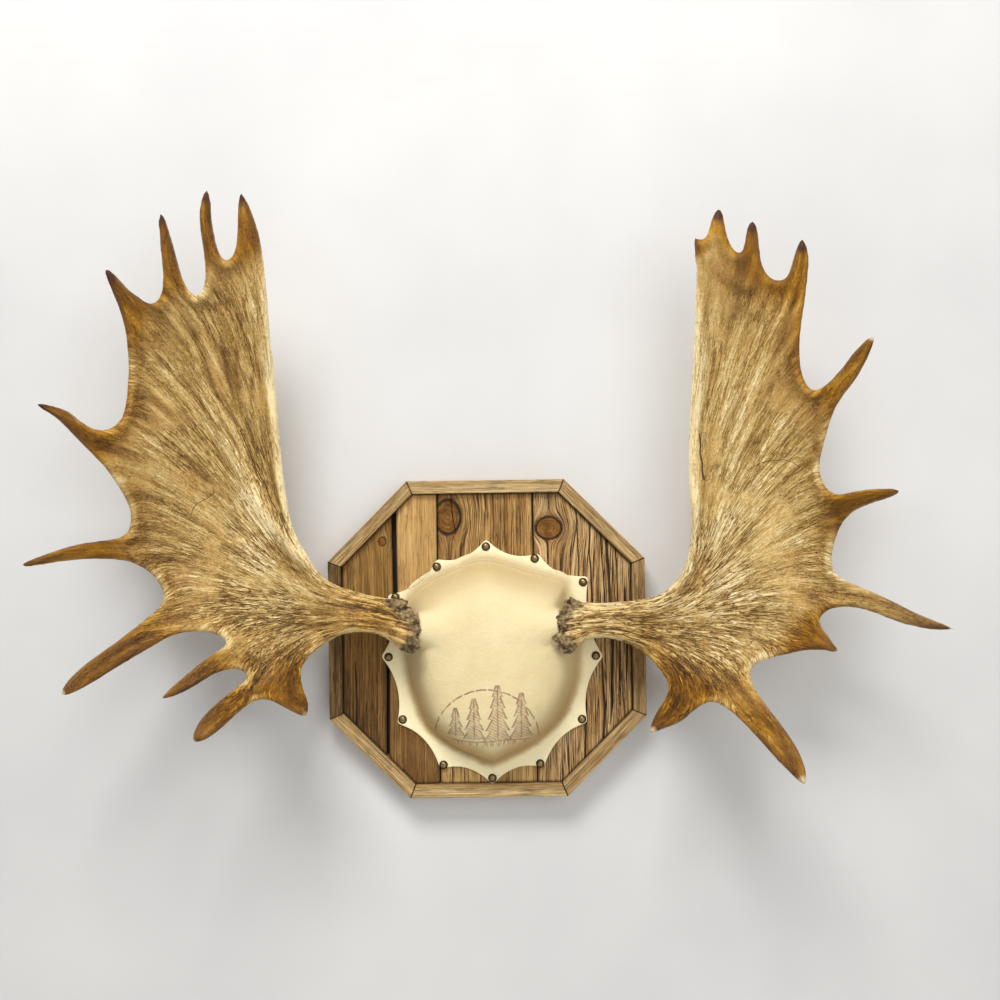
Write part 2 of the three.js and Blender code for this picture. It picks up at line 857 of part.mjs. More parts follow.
addMesh("backing_board", backingBoard(), backingMaterial);
BOARD_EDGES.forEach((edges, i) => {
  addMesh("board_" + (i + 1), board(edges), boardMaterial);
});
for (let side = 0; side < 8; side++) {
  addMesh("trim_" + (side + 1), trimStrip(side), trimMaterial);
}
addMesh("skull_plate", skullPlate(), boneMaterial);
addMesh("leather_cover", leatherCover(), leatherMaterial);
tackPlaces.forEach(([x, z], i) => {
  addMesh("tack_" + (i + 1), turned(tackProfile, x, z, 8), brassMaterial);
});
skullScrewPlaces.forEach((at, i) => {
  addMesh("skull_screw_" + (i + 1), skullScrew(at), steelMaterial);
});
addMesh("hanger_plate", hangerPlate(), steelMaterial);
hangerScrewPlaces.forEach((at, i) => {
  addMesh("hanger_screw_" + (i + 1), hangerScrew(at), steelMaterial);
});
addAntler("left_antler", -1, LEFT);
addAntler("right_antler", 1, RIGHT);

export default group;
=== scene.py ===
"""A pair of moose antlers on an octagonal barn-wood plaque, with a leather cover over the skull plate.

Metres and +Z up: the wall is the plane Y = 0 and the front faces -Y.
The tables below are in millimetres. Outlines are drawn on the plane of the trim's front, as seen
from EYE; placed() brings a drawn point to its own distance out from the wall.
"""
import math
from types import SimpleNamespace

import bpy
import numpy as np
from mathutils import Matrix


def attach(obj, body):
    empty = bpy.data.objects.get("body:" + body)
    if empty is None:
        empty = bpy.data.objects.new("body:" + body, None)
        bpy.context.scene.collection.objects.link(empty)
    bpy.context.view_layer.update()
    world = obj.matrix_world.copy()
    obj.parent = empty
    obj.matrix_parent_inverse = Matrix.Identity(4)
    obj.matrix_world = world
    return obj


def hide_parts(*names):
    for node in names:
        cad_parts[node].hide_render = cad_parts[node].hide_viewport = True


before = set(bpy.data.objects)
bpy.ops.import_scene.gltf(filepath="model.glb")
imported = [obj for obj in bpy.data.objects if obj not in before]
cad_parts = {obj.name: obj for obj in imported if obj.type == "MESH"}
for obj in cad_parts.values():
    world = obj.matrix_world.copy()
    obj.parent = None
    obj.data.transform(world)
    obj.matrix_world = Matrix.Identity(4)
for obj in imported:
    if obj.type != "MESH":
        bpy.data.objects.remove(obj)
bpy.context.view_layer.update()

MM = 0.001

# ---- The plaque's dimensions ----

EYE = (21.0, -1800.0, 200.0)
PLAQUE_SIZE = 457.0
CORNER_CUT = 115.0
TRIM_WIDTH = 18.4
TRIM_DEPTH = 40.0
GAP = 0.3
BACKING_THICKNESS = 12.0
BOARD_FACE = 31.0
LEATHER = 2.5
SCALLOP_SAG = 11.0
CUSP_ROUNDING = 6.0
SKULL_CENTRE_X = 3.0
DOME_PEAK = (6.0, -60.0)
PEDICLE_Z, PEDICLE_OUT, PEDICLE_RADIUS = 20.0, 82.0, 23.8
BURR_REACH = 95.0
TACK_RADIUS, TACK_HEIGHT = 6.2, 3.4

TACKS = [
    (0, 133), (70, 115), (139, 80), (156, -26), (135, -117), (74, -180),
    (5, -200), (-65, -180), (-123, -114), (-142, -24), (-131, 62), (-71, 105),
]
CUSPS = [
    (0, 144), (76, 122), (147, 88), (167, -27), (143, -122), (79, -186),
    (5, -210), (-70, -186), (-131, -120), (-153, -23), (-143, 65), (-71, 116),
]
DOME_FOOT = [
    (-2, 114), (-51, 99), (-88, 81), (-112, 57), (-118, 29), (-118, -7), (-115, -45),
    (-106, -80), (-91, -120), (-61, -149), (-24, -169), (6, -179), (36, -166), (68, -150),
    (105, -114), (127, -67), (133, -25), (133, 18), (119, 60), (108, 82), (57, 98),
]
DOME_PROFILE = [(1, 0), (0.965, 9), (0.90, 29), (0.80, 50), (0.64, 66), (0.42, 74), (0.02, 77)]
# Left and right edge of each board, as (x, z) points from top to bottom.
BOARD_EDGES = [
    ([(-230, 230), (-230, -230)], [(-136, 230), (-134.2, 72), (-145.4, -40), (-147, -230)]),
    ([(-129, 230), (-128.2, 72), (-141, -40), (-143, -230)], [(-70.5, 230), (-70.5, -230)]),
    ([(-69, 230), (-69, -230)], [(67, 230), (69.5, -230)]),
    ([(68.5, 230), (71, -230)], [(230, 230), (230, -230)]),
]

# ---- The antlers' outlines: one row of (x, z) points from each tip to the next ----
# The first row starts at the root's upper edge, and the last one ends at its lower edge.

LEFT_OUTLINE = [
    [(-79, 53), (-95, 51), (-107, 56), (-120, 58), (-133, 58), (-153, 62), (-176, 66), (-196, 73),
     (-215, 79), (-231, 88), (-245, 101), (-256, 116), (-265, 132), (-272, 146), (-277, 160),
     (-283, 181), (-288, 208), (-291, 240), (-293, 269), (-296, 305), (-299, 345), (-303, 388),
     (-306, 427), (-308, 471), (-311, 514), (-314, 547), (-318, 579), (-325, 605), (-333, 626),
     (-340, 640), (-346, 649)],
    [(-346, 649), (-350, 637), (-351, 615), (-352, 586), (-354, 566), (-360, 553), (-368, 548),
     (-375, 554), (-381, 568), (-385, 587), (-388, 606), (-389, 627), (-390, 643), (-394, 653)],
    [(-394, 653), (-400, 648), (-404, 633), (-407, 616), (-405, 591), (-401, 565), (-398, 540),
     (-399, 519), (-404, 504), (-412, 497), (-422, 505), (-430, 520), (-436, 539), (-440, 559),
     (-447, 583), (-453, 607), (-458, 617), (-462, 620)],
    [(-462, 620), (-465, 614), (-465, 601), (-463, 576), (-461, 552), (-459, 526), (-460, 509),
     (-466, 494), (-475, 489), (-485, 490), (-497, 501), (-509, 509), (-519, 520), (-527, 531),
     (-536, 539), (-542, 540)],
    [(-542, 540), (-544, 536), (-540, 524), (-533, 508), (-525, 487), (-517, 466), (-513, 437),
     (-511, 409), (-512, 373), (-515, 344), (-521, 324), (-533, 311), (-549, 307), (-562, 309),
     (-573, 316), (-585, 323), (-596, 336), (-611, 341), (-628, 346), (-639, 349), (-648, 348)],
    [(-648, 348), (-635, 338), (-622, 331), (-611, 323), (-597, 307), (-580, 289), (-563, 272),
     (-548, 256), (-536, 239), (-524, 220), (-514, 203), (-510, 185), (-511, 169), (-518, 158),
     (-528, 151), (-548, 150), (-570, 147), (-590, 144), (-610, 139), (-631, 131), (-651, 125),
     (-665, 119), (-672, 114)],
    [(-672, 114), (-660, 112), (-640, 115), (-614, 120), (-585, 122), (-556, 123), (-527, 121),
     (-507, 117), (-490, 107), (-477, 95), (-468, 82), (-464, 69), (-466, 58), (-476, 47),
     (-492, 35), (-513, 18), (-537, 1), (-561, -15), (-581, -30), (-599, -45), (-610, -58),
     (-615, -70)],
    [(-615, -70), (-612, -76), (-595, -69), (-570, -57), (-541, -38), (-512, -21), (-486, -7),
     (-467, 5), (-449, 13), (-428, 16), (-405, 16), (-386, 11), (-376, 3), (-375, -4), (-382, -9),
     (-396, -16), (-417, -32), (-434, -45), (-450, -59), (-463, -70), (-473, -81)],
    [(-473, -81), (-461, -80), (-443, -74), (-426, -65), (-410, -55), (-394, -45), (-378, -40),
     (-362, -37), (-351, -41), (-345, -50), (-350, -57), (-363, -65), (-377, -76), (-395, -91),
     (-408, -103), (-419, -117), (-427, -133), (-426, -144)],
    [(-426, -144), (-417, -144), (-404, -138), (-389, -128), (-372, -113), (-354, -96), (-340, -86),
     (-325, -82), (-311, -84), (-297, -93), (-282, -102), (-271, -107), (-262, -108)],
    [(-262, -108), (-258, -99), (-259, -86), (-265, -72), (-269, -56), (-270, -41), (-263, -28),
     (-251, -17), (-238, -7), (-220, 4), (-206, 10), (-189, 12), (-171, 12), (-154, 8), (-140, -1),
     (-127, -12), (-117, -20), (-106, -24), (-95, -18), (-80, -15)],
]
RIGHT_OUTLINE = [
    [(84, 52), (98, 49), (110, 54), (122, 57), (133, 52), (149, 49), (172, 49), (195, 51), (218, 53),
     (235, 55), (251, 60), (264, 70), (276, 83), (286, 98), (292, 115), (296, 135), (296, 160),
     (296, 184), (294, 210), (293, 236), (293, 265), (295, 297), (297, 328), (299, 361), (302, 397),
     (304, 433), (306, 466), (308, 498), (309, 527), (307, 551), (305, 567), (306, 575)],
    [(306, 575), (310, 572), (318, 570), (324, 574), (328, 586), (331, 599), (335, 609), (342, 615)],
    [(342, 615), (346, 613), (349, 603), (351, 587), (355, 570), (362, 555), (370, 549), (376, 552),
     (379, 566), (381, 582), (385, 593), (390, 597)],
    [(390, 597), (395, 593), (398, 582), (400, 562), (401, 540), (406, 523), (416, 513), (427, 509),
     (438, 512), (444, 524), (448, 541), (453, 556), (458, 567), (462, 570)],
    [(462, 570), (467, 563), (471, 548), (471, 532), (468, 507), (465, 483), (460, 457), (457, 431),
     (455, 407), (456, 385), (461, 365), (469, 353), (479, 350), (490, 356), (505, 369), (519, 385),
     (533, 405), (546, 418), (556, 427), (562, 429)],
    [(562, 429), (565, 424), (560, 410), (550, 389), (538, 368), (526, 353), (515, 340), (506, 326),
     (498, 307), (492, 284), (485, 262), (481, 242), (483, 225), (491, 210), (502, 201), (515, 201),
     (530, 205), (546, 208), (564, 209), (583, 209), (593, 208), (598, 204)],
    [(598, 204), (592, 198), (574, 192), (554, 187), (535, 180), (521, 170), (510, 155), (504, 138),
     (498, 118), (497, 101), (501, 88), (512, 78), (529, 72), (549, 63), (572, 53), (595, 41),
     (618, 29), (641, 19), (661, 11), (674, 5)],
    [(674, 5), (664, 2), (641, 4), (615, 9), (589, 16), (563, 29), (540, 36), (517, 40), (497, 38),
     (485, 31), (478, 23), (481, 10), (490, -1), (499, -14), (507, -25)],
    [(507, -25), (499, -27), (488, -23), (471, -22), (450, -24), (427, -29), (404, -35), (388, -39),
     (379, -47), (378, -62), (383, -76), (396, -95), (413, -117), (430, -140), (444, -162),
     (454, -184), (459, -204), (456, -217)],
    [(456, -217), (449, -215), (435, -201), (417, -182), (398, -160), (380, -139), (363, -121),
     (347, -107), (333, -97), (320, -94), (307, -99), (294, -110), (282, -121), (267, -129),
     (250, -133), (240, -139), (233, -140)],
    [(233, -140), (231, -132), (239, -115), (248, -100), (258, -87), (262, -74), (258, -61),
     (248, -48), (237, -34), (224, -22), (209, -13), (191, -5), (174, -1), (157, 0), (141, -4),
     (129, -12), (119, -26), (108, -22), (83, -17)],
]

# How far each sheet of bone stands out, as (x, z, out).
LEFT_SHEET = [
    (-114, 19, 82), (-183, 41, 84), (-254, 45, 92), (-340, 89, 100), (-275, 146, 112),
    (-297, 319, 120), (-310, 492, 150), (-411, 162, 95), (-402, 306, 105), (-400, 450, 135),
    (-466, 59, 122), (-511, 159, 135), (-513, 293, 148), (-511, 380, 150), (-542, 539, 200),
    (-463, 618, 190), (-395, 652, 185), (-347, 648, 180), (-646, 347, 250), (-582, 294, 195),
    (-670, 114, 260), (-585, 133, 200), (-613, -71, 240), (-529, -9, 178), (-442, 33, 130),
    (-250, 0, 94), (-320, 5, 112), (-270, -38, 132), (-320, -33, 142), (-359, -26, 152),
    (-469, -82, 220), (-392, -32, 172), (-426, -144, 250), (-372, -100, 208), (-264, -105, 230),
    (-288, -81, 186), (-335, -69, 168),
]
RIGHT_SHEET = [
    (118, 18, 82), (177, 25, 84), (242, 21, 92), (336, 51, 100), (295, 196, 118),
    (295, 282, 122), (306, 484, 150), (387, 108, 98), (382, 267, 105), (377, 440, 135),
    (492, 107, 138), (483, 236, 142), (460, 381, 155), (342, 614, 185), (391, 596, 187),
    (461, 568, 195), (562, 427, 240), (513, 359, 190), (596, 205, 250), (525, 188, 175),
    (674, 5, 255), (581, 39, 190), (505, -25, 185), (480, 23, 145),
    (306, -8, 100), (362, -26, 108), (260, -66, 130), (313, -70, 138), (370, -62, 138),
    (233, -137, 228), (276, -106, 180), (455, -215, 265), (398, -133, 208),
]


# ---- Numbers ----

def smooth(low, high, value):
    """0 below low, 1 above high and a soft step between them."""
    share = np.clip((value - low) / (high - low), 0.0, 1.0)
    return share * share * (3 - 2 * share)


LATTICE_SIZE = 32
LATTICE = np.random.default_rng(11).random((LATTICE_SIZE,) * 3) * 2 - 1


def noise(x, y, z):
    """Smooth noise from -1 to 1, with cells one unit wide."""
    cells, parts = [], []
    for axis in np.broadcast_arrays(x, y, z):
        low = np.floor(axis)
        cells.append(low.astype(np.int64))
        part = axis - low
        parts.append(part * part * (3 - 2 * part))
    total = 0.0
    for corner in range(8):
        bits = [(corner >> k) & 1 for k in range(3)]
        weight = 1.0
        for bit, part in zip(bits, parts):
            weight = weight * (part if bit else 1 - part)
        index = tuple((cell + bit) % LATTICE_SIZE for bit, cell in zip(bits, cells))
        total = total + weight * LATTICE[index]
    return total


def placed(x, z, out):
    """Drawn points at their own distance out from the wall, in mm."""
    x, z, out = np.broadcast_arrays(x, z, out)
    scale = (-EYE[1] - out) / (-EYE[1] - TRIM_DEPTH)
    return np.stack([EYE[0] + (x - EYE[0]) * scale, -out, EYE[2] + (z - EYE[2]) * scale], -1)


def on_boards(points):
    """Drawn points as (x, z) on the boards' front."""
    points = np.array(points, float)
    return placed(points[:, 0], points[:, 1], BOARD_FACE)[:, [0, 2]]


def bell(distance, width):
    """1 in the middle, falling smoothly to about a third at the width and to nothing beyond it."""
    return np.exp(-((distance / width) ** 2))


def smooth_max(a, b, width):
    """The larger of a and b, rounded where they lie within width of each other."""
    share = np.clip(0.5 + 0.5 * (a - b) / width, 0, 1)
    return b + (a - b) * share + width * share * (1 - share)


def catmull_rom(before, here, after, beyond, t):
    """The smooth curve's points a share t of the way from here to after."""
    return 0.5 * (
        2 * here
        + (after - before) * t
        + (2 * before - 5 * here + 4 * after - beyond) * t**2
        + (3 * here - before - 3 * after + beyond) * t**3
    )


def rounded_loop(points, count):
    """A closed smooth curve through points."""
    points = np.array(points, float)
    at = np.arange(count) / count * len(points)
    k = at.astype(int)
    ends = [points[(k + step) % len(points)] for step in (-1, 0, 1, 2)]
    return catmull_rom(*ends, (at - k)[:, None])


def rounded_row(row):
    """A smooth curve along a row of points, through both of its ends."""
    points = np.array(row, float)
    points[1:-1] = 0.2 * points[:-2] + 0.6 * points[1:-1] + 0.2 * points[2:]
    padded = np.vstack([2 * points[0] - points[1], points, 2 * points[-1] - points[-2]])
    ends = [padded[k : len(points) - 1 + k] for k in range(4)]
    curve = [catmull_rom(*ends, t) for t in (0.0, 1 / 3, 2 / 3)]
    return np.vstack([np.stack(curve, 1).reshape(-1, 2), points[-1]])


def full_turn(count):
    """Evenly spaced angles once round."""
    return np.arange(count) / count * 2 * math.pi


def line_distance(x, z, points):
    """Distance to a line through (x, z) points, the side it lies on, and the share of the way along."""
    points = np.array(points, float)
    lengths = np.hypot(*np.diff(points, axis=0).T)
    before = np.concatenate([[0], np.cumsum(lengths)])
    best = np.full(np.shape(x), np.inf)
    side = np.ones(np.shape(x))
    along = np.zeros(np.shape(x))
    for k, length in enumerate(lengths):
        (ax, az), (bx, bz) = points[k], points[k + 1]
        dx, dz = bx - ax, bz - az
        t = ((x - ax) * dx + (z - az) * dz) / length**2
        held = np.clip(t, 0, 1)
        distance = np.hypot(x - ax - held * dx, z - az - held * dz)
        nearer = distance < best
        best = np.where(nearer, distance, best)
        side = np.where(nearer, np.sign((x - ax) * dz - (z - az) * dx), side)
        along = np.where(nearer, (before[k] + held * length) / before[-1], along)
    return best, side, along


# ---- Meshes and materials ----

def add_piece(name, points, faces, material, slot, replaces, flat_from=None, **attributes):
    """A mesh from points in mm, with one number per point for each attribute.

    Faces are shaded smooth, apart from those after flat_from.
    """
    mesh = bpy.data.meshes.new(name)
    sizes = np.array([len(face) for face in faces], np.int32)
    corners = np.concatenate([np.asarray(face, np.int32) for face in faces])
    mesh.vertices.add(len(points))
    mesh.vertices.foreach_set("co", (np.asarray(points) * MM).astype(np.float32).ravel())
    mesh.loops.add(len(corners))
    mesh.loops.foreach_set("vertex_index", corners)
    mesh.polygons.add(len(sizes))
    starts = np.concatenate([[0], np.cumsum(sizes)[:-1]]).astype(np.int32)
    mesh.polygons.foreach_set("loop_start", starts)
    mesh.update(calc_edges=True)
    rounded = np.ones(len(sizes), bool)
    if flat_from is not None:
        rounded[flat_from:] = False
    mesh.polygons.foreach_set("use_smooth", rounded)
    for key, values in attributes.items():
        layer = mesh.attributes.new(key, "FLOAT", "POINT")
        layer.data.foreach_set("value", np.asarray(values, np.float32).ravel())
    mesh.validate()
    mesh.materials.append(material)
    piece = bpy.data.objects.new(name, mesh)
    bpy.context.scene.collection.objects.link(piece)
    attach(piece, "root")
    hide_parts(*replaces)


def ring_faces(rings, spokes):
    """Quads between rings of points, and a fan from the last ring to the one point after it."""
    ring = np.arange(spokes)
    after = (ring + 1) % spokes
    faces = []
    for low in range(0, (rings - 1) * spokes, spokes):
        high = low + spokes
        faces += np.stack([low + ring, low + after, high + after, high + ring], 1).tolist()
    last = (rings - 1) * spokes
    return faces + [[last + i, last + j, rings * spokes] for i, j in zip(ring, after)]


def rgb(code):
    """A linear colour from a six-digit sRGB code."""
    values = [int(code[k : k + 2], 16) / 255 for k in (0, 2, 4)]
    linear = [v / 12.92 if v <= 0.04045 else ((v + 0.055) / 1.055) ** 2.4 for v in values]
    return (*linear, 1.0)


class Value:
    """A number that a material's nodes work out, for use in sums."""

    def __init__(self, shader, socket):
        self.shader = shader
        self.socket = socket

    def __add__(self, other):
        return self.shader.math("ADD", self, other)

    def __sub__(self, other):
        return self.shader.math("SUBTRACT", self, other)

    def __mul__(self, other):
        return self.shader.math("MULTIPLY", self, other)

    def __truediv__(self, number):
        return self * (1 / number)

    def __abs__(self):
        return self.shader.math("ABSOLUTE", self)


class Shader:
    """Builds one material's nodes. Inputs are numbers, sRGB codes, values or other nodes' sockets."""

    def __init__(self, name):
        self.material = bpy.data.materials.new(name)
        self.material.use_nodes = True
        self.tree = self.material.node_tree
        self.tree.nodes.clear()
        self.place = self.node("ShaderNodeTexCoord").outputs["Object"]

    def node(self, kind, inputs=(), **settings):
        node = self.tree.nodes.new(kind)
        for key, value in settings.items():
            setattr(node, key, value)
        for key, value in dict(inputs).items():
            self.put(node.inputs[key], value)
        return node

    def put(self, socket, value):
        if isinstance(value, Value):
            value = value.socket
        if isinstance(value, bpy.types.NodeSocket):
            self.tree.links.new(value, socket)
        elif value is not None:
            socket.default_value = rgb(value) if isinstance(value, str) else value

    def math(self, operation, a, b=None):
        return Value(self, self.node("ShaderNodeMath", {0: a, 1: b}, operation=operation).outputs[0])

    def larger(self, a, b):
        return self.math("MAXIMUM", a, b)

    def fract(self, value):
        return self.math("FRACT", value)

    def step(self, value, low, high, start=0.0, end=1.0):
        """Start where the value is low, end where it is high, and a soft step between them."""
        inputs = {"Value": value, "From Min": low, "From Max": high, "To Min": start, "To Max": end}
        ranged = self.node("ShaderNodeMapRange", inputs, interpolation_type="SMOOTHSTEP")
        return Value(self, ranged.outputs[0])

    def mix(self, share, a, b):
        return self.node("ShaderNodeMix", {0: share, 6: a, 7: b}, data_type="RGBA").outputs[2]

    def coats(self, colour, *coats):
        """Lays coats over a colour one after another, each as (share, colour)."""
        for share, coat in coats:
            colour = self.mix(share, colour, coat)
        return colour

    def ramp(self, share, *stops):
        node = self.node("ShaderNodeValToRGB", {0: share})
        elements = node.color_ramp.elements
        while len(elements) < len(stops):
            elements.new(0.5)
        for element, (at, code) in zip(elements, stops):
            element.position = at
            element.color = rgb(code)
        return node.outputs[0]

    def noise(self, vector, scale, detail=2.0, roughness=0.5, distortion=0.0):
        inputs = {
            "Vector": vector, "Scale": scale, "Detail": detail,
            "Roughness": roughness, "Distortion": distortion,
        }
        return Value(self, self.node("ShaderNodeTexNoise", inputs).outputs[0])

    def cells(self, vector, scale):
        inputs = {"Vector": vector, "Scale": scale}
        return Value(self, self.node("ShaderNodeTexVoronoi", inputs).outputs[0])

    def attribute(self, name):
        return Value(self, self.node("ShaderNodeAttribute", attribute_name=name).outputs["Fac"])

    def combine(self, x, y, z):
        return self.node("ShaderNodeCombineXYZ", {0: x, 1: y, 2: z}).outputs[0]

    def split(self, vector):
        return [Value(self, part) for part in self.node("ShaderNodeSeparateXYZ", {0: vector}).outputs]

    def stretch(self, vector, x, y, z):
        inputs = {0: vector, 1: (x, y, z)}
        return self.node("ShaderNodeVectorMath", inputs, operation="MULTIPLY").outputs[0]

    def bump(self, height, distance):
        return self.node("ShaderNodeBump", {"Height": height, "Distance": distance}).outputs[0]

    def finish(self, colour, roughness, normal=None, **fixed):
        inputs = {"Base Color": colour, "Roughness": roughness, "Normal": normal, **fixed}
        return self.show(self.node("ShaderNodeBsdfPrincipled", inputs))

    def show(self, surface):
        output = self.node("ShaderNodeOutputMaterial")
        self.tree.links.new(surface.outputs[0], output.inputs["Surface"])
        return self.material


# ---- Antlers ----

STEP = 2.5  # spacing of the antlers' grids
MARGIN = 6  # grid steps round the outline
ROOT_SPAN = 50.0  # the grain's coordinate runs over this many units from the lower to the upper edge
PALM_SCREEN = 4.3  # makes the palm about 12 mm thick in its middle
ROUND_SCREEN = 25.0
RIM_FROM, RIM_TO = 5.0, 20.0  # distances from the edge over which the palm thins
SOFT = 25.0  # keeps the field's slope finite at the outline
RAY_HOLD = 34.0  # how near the edge the grain leaves its straight rays
BEAM_END = (215, 300)  # the palm starts to thin here, by distance from the middle
OFF_GRID = 0.13  # keeps the outline's whole numbers off the grid's points
PLATE_UNIT = 100.0  # distances in the thin plate's sums are in this many mm
FAR = 1e6
TRAVEL_ROUNDS = 460
SPREAD_ROUNDS = 4
PEARLS = 300
NO_CRACK = 9.0  # stands for no crack near by
RIM_CREST, RIM_SHADE, RIM_HOLLOW = 9.0, 24.0, 26.0  # distances from the palm's edge
BEAM_FADE = (225, 290)  # the beam turns into the palm here, by distance from the middle
BURR_FADE = (10, 27)  # the burr's knobs end here, by distance along the beam


def ray_of(x, z, rows, fan):
    """The share of the turn round the fan's point, from 0 at the last row to 1 at the first."""
    def angle(px, pz):
        return np.arctan2(pz - fan[1], np.abs(px) - abs(fan[0]))

    first, last = angle(*rows[0][-4]), angle(*rows[-1][4])
    return (angle(x, z) - last) / (first - last)


class Chart:
    """One sheet of bone on a grid: its thickness, its distance out and its grain."""

    def __init__(self, rows, sheet, fan):
        outline = np.array([point for row in rows for point in row])
        self.low = outline.min(0) - MARGIN * STEP - OFF_GRID
        high = outline.max(0) + MARGIN * STEP
        spans = [np.arange(start, end, STEP) for start, end in zip(self.low, high)]
        self.x, self.z = np.meshgrid(*spans, indexing="ij")
        self.measure([rounded_row(row) for row in rows], fan)
        self.rays = np.clip(ray_of(self.x, self.z, rows, fan), 0, 1)
        self.mid = self.bend(sheet)
        slope_x, slope_z = np.gradient(self.mid, STEP)
        self.facing = 1 / np.sqrt(1 + slope_x**2 + slope_z**2)
        palm = smooth(RIM_FROM, RIM_TO, self.edge) * smooth(*BEAM_END, np.abs(self.x))
        screen = palm / PALM_SCREEN**2 + 1 / ROUND_SCREEN**2
        square = self.solve(np.zeros_like(self.edge), np.full_like(screen, 2.0), screen)
        self.square = np.where(self.inside, square, self.beyond(square))
        hold = smooth(15, 60, np.abs(self.x) - abs(fan[0])) / RAY_HOLD**2
        grain = self.solve(self.owner_value, hold * self.rays, hold)
        self.grain = self.spread(grain) * ROOT_SPAN
        self.flow = self.spread(self.travel())
        across = np.hypot(*np.gradient(self.grain, STEP))
        self.density = np.maximum(self.blur(across), 0.03)
        self.half = np.sqrt(np.maximum(self.square, 0.25))

    def measure(self, rows, fan):
        """Signed distance to the outline, and the grain's value on the nearest row."""
        best = np.full(self.x.shape, np.inf)
        value = np.zeros(self.x.shape)
        inside = np.zeros(self.x.shape, bool)
        for (ax, az), (bx, bz), start, end in self.stretches(rows, fan):
            dx, dz = bx - ax, bz - az
            t = np.clip(((self.x - ax) * dx + (self.z - az) * dz) / (dx * dx + dz * dz), 0, 1)
            distance = np.hypot(self.x - ax - t * dx, self.z - az - t * dz)
            nearer = distance < best
            best[nearer] = distance[nearer]
            value[nearer] = start + (end - start) * t[nearer]
            if dz:
                crossing = (az > self.z) != (bz > self.z)
                inside ^= crossing & (self.x < ax + (self.z - az) * dx / dz)
        self.inside = inside
        self.edge = np.where(inside, best, -best)
        self.owner_value = value

    @staticmethod
    def stretches(rows, fan):
        """Each stretch of the outline, with the grain's value at both ends.

        The value is 1 along the first row and 0 along the last. Between them it follows the
        rays, and is held along the sides of each tine.
        """
        found = []
        for k, row in enumerate(rows):
            if k in (0, len(rows) - 1):
                level = np.full(len(row), float(k == 0))
            else:
                level = ray_of(*np.array(row, float).T, rows, fan)
                place = np.linspace(0, 1, len(row))
                level = np.clip(np.interp(np.clip(place, 0.3, 0.7), place, level), 0.02, 0.98)
            found += list(zip(row[:-1], row[1:], level[:-1], level[1:]))
        found.append((rows[-1][-1], rows[0][0], 0.0, 1.0))
        return found

    def bend(self, sheet):
        """A thin plate through the sheet's points, over the grid."""
        points = np.array(sheet, float)

        def kernel(x, z):
            squared = (x * x + z * z) / PLATE_UNIT**2
            return squared * np.log(np.maximum(squared, 1e-12))

        count = len(points)
        matrix = np.zeros((count + 3, count + 3))
        matrix[:count, :count] = kernel(
            points[:, None, 0] - points[None, :, 0], points[:, None, 1] - points[None, :, 1]
        )
        matrix[:count, count:] = np.c_[np.ones(count), points[:, :2] / PLATE_UNIT]
        matrix[count:, :count] = matrix[:count, count:].T
        weights = np.linalg.solve(matrix, np.r_[points[:, 2], 0, 0, 0])
        level, tilt_x, tilt_z = weights[count:]
        out = level + tilt_x * self.x / PLATE_UNIT + tilt_z * self.z / PLATE_UNIT
        for (px, pz, _), weight in zip(points, weights):
            out += weight * kernel(self.x - px, self.z - pz)
        return out

    def solve(self, outer, source, screen):
        """Relaxes a field whose Laplacian is screen * field - source, from coarse to fine."""
        guess = None
        for stride, rounds in ((8, 80), (4, 80), (2, 90), (1, 140)):
            pick = (slice(None, None, stride),) * 2
            inside, edge, fixed = self.inside[pick], self.edge[pick], outer[pick]
            start = 0.0
            if guess is not None:
                start = guess.repeat(2, 0).repeat(2, 1)[: inside.shape[0], : inside.shape[1]]
            field = np.where(inside, start, fixed)
            step = STEP * stride
            guess = self.relax(field, inside, edge, source[pick], screen[pick], step, rounds)
        return guess

    @staticmethod
    def relax(field, inside, edge, source, screen, step, rounds):
        """One resolution's rounds. Beside the outline a step counts for what lies inside of it."""
        core = (slice(1, -1), slice(1, -1))
        sides = [
            (slice(2, None), slice(1, -1)), (slice(None, -2), slice(1, -1)),
            (slice(1, -1), slice(2, None)), (slice(1, -1), slice(None, -2)),
        ]
        here = edge[core]
        share = []
        for side in sides:
            crossing = inside[core] & ~inside[side]
            gap = np.where(crossing, np.maximum(here - edge[side], 1e-6), 1.0)
            share.append(np.where(crossing, np.clip(here / gap, 0.15, 1), 1.0))
        weights = []
        for k, own in enumerate(share):
            weights.append(2 / (own * (own + share[k ^ 1])))
        total = sum(weights) + screen[core] * step**2
        target = inside[core]
        for _ in range(rounds):
            new = sum(w * field[side] for w, side in zip(weights, sides)) + source[core] * step**2
            field[core] = np.where(target, new / total, field[core])
        return field

    def beyond(self, square):
        """Negative values outside, with the slope that the field has inside the outline."""
        slope = np.where(self.inside & (self.edge > 0.2), square / np.maximum(self.edge, 0.2), 0)
        weight = (slope > 0).astype(float)
        total, count = self.neighbours(slope), self.neighbours(weight)
        near = np.where(count > 0, total / np.maximum(count, 1), 12.0)
        return near * np.minimum(self.edge, -0.02)

    @staticmethod
    def neighbours(values):
        total = np.zeros_like(values)
        for dx in (-1, 0, 1):
            for dz in (-1, 0, 1):
                if dx or dz:
                    total += np.roll(values, (dx, dz), (0, 1))
        return total

    def spread(self, values):
        """Carries values from inside the outline a few steps beyond it."""
        known = self.inside.astype(float)
        values = np.where(self.inside, values, 0.0)
        for _ in range(SPREAD_ROUNDS):
            total, count = self.neighbours(values * known), self.neighbours(known)
            fresh = (known == 0) & (count > 0)
            values = np.where(fresh, total / np.maximum(count, 1), values)
            known = np.where(fresh, 1.0, known)
        return values

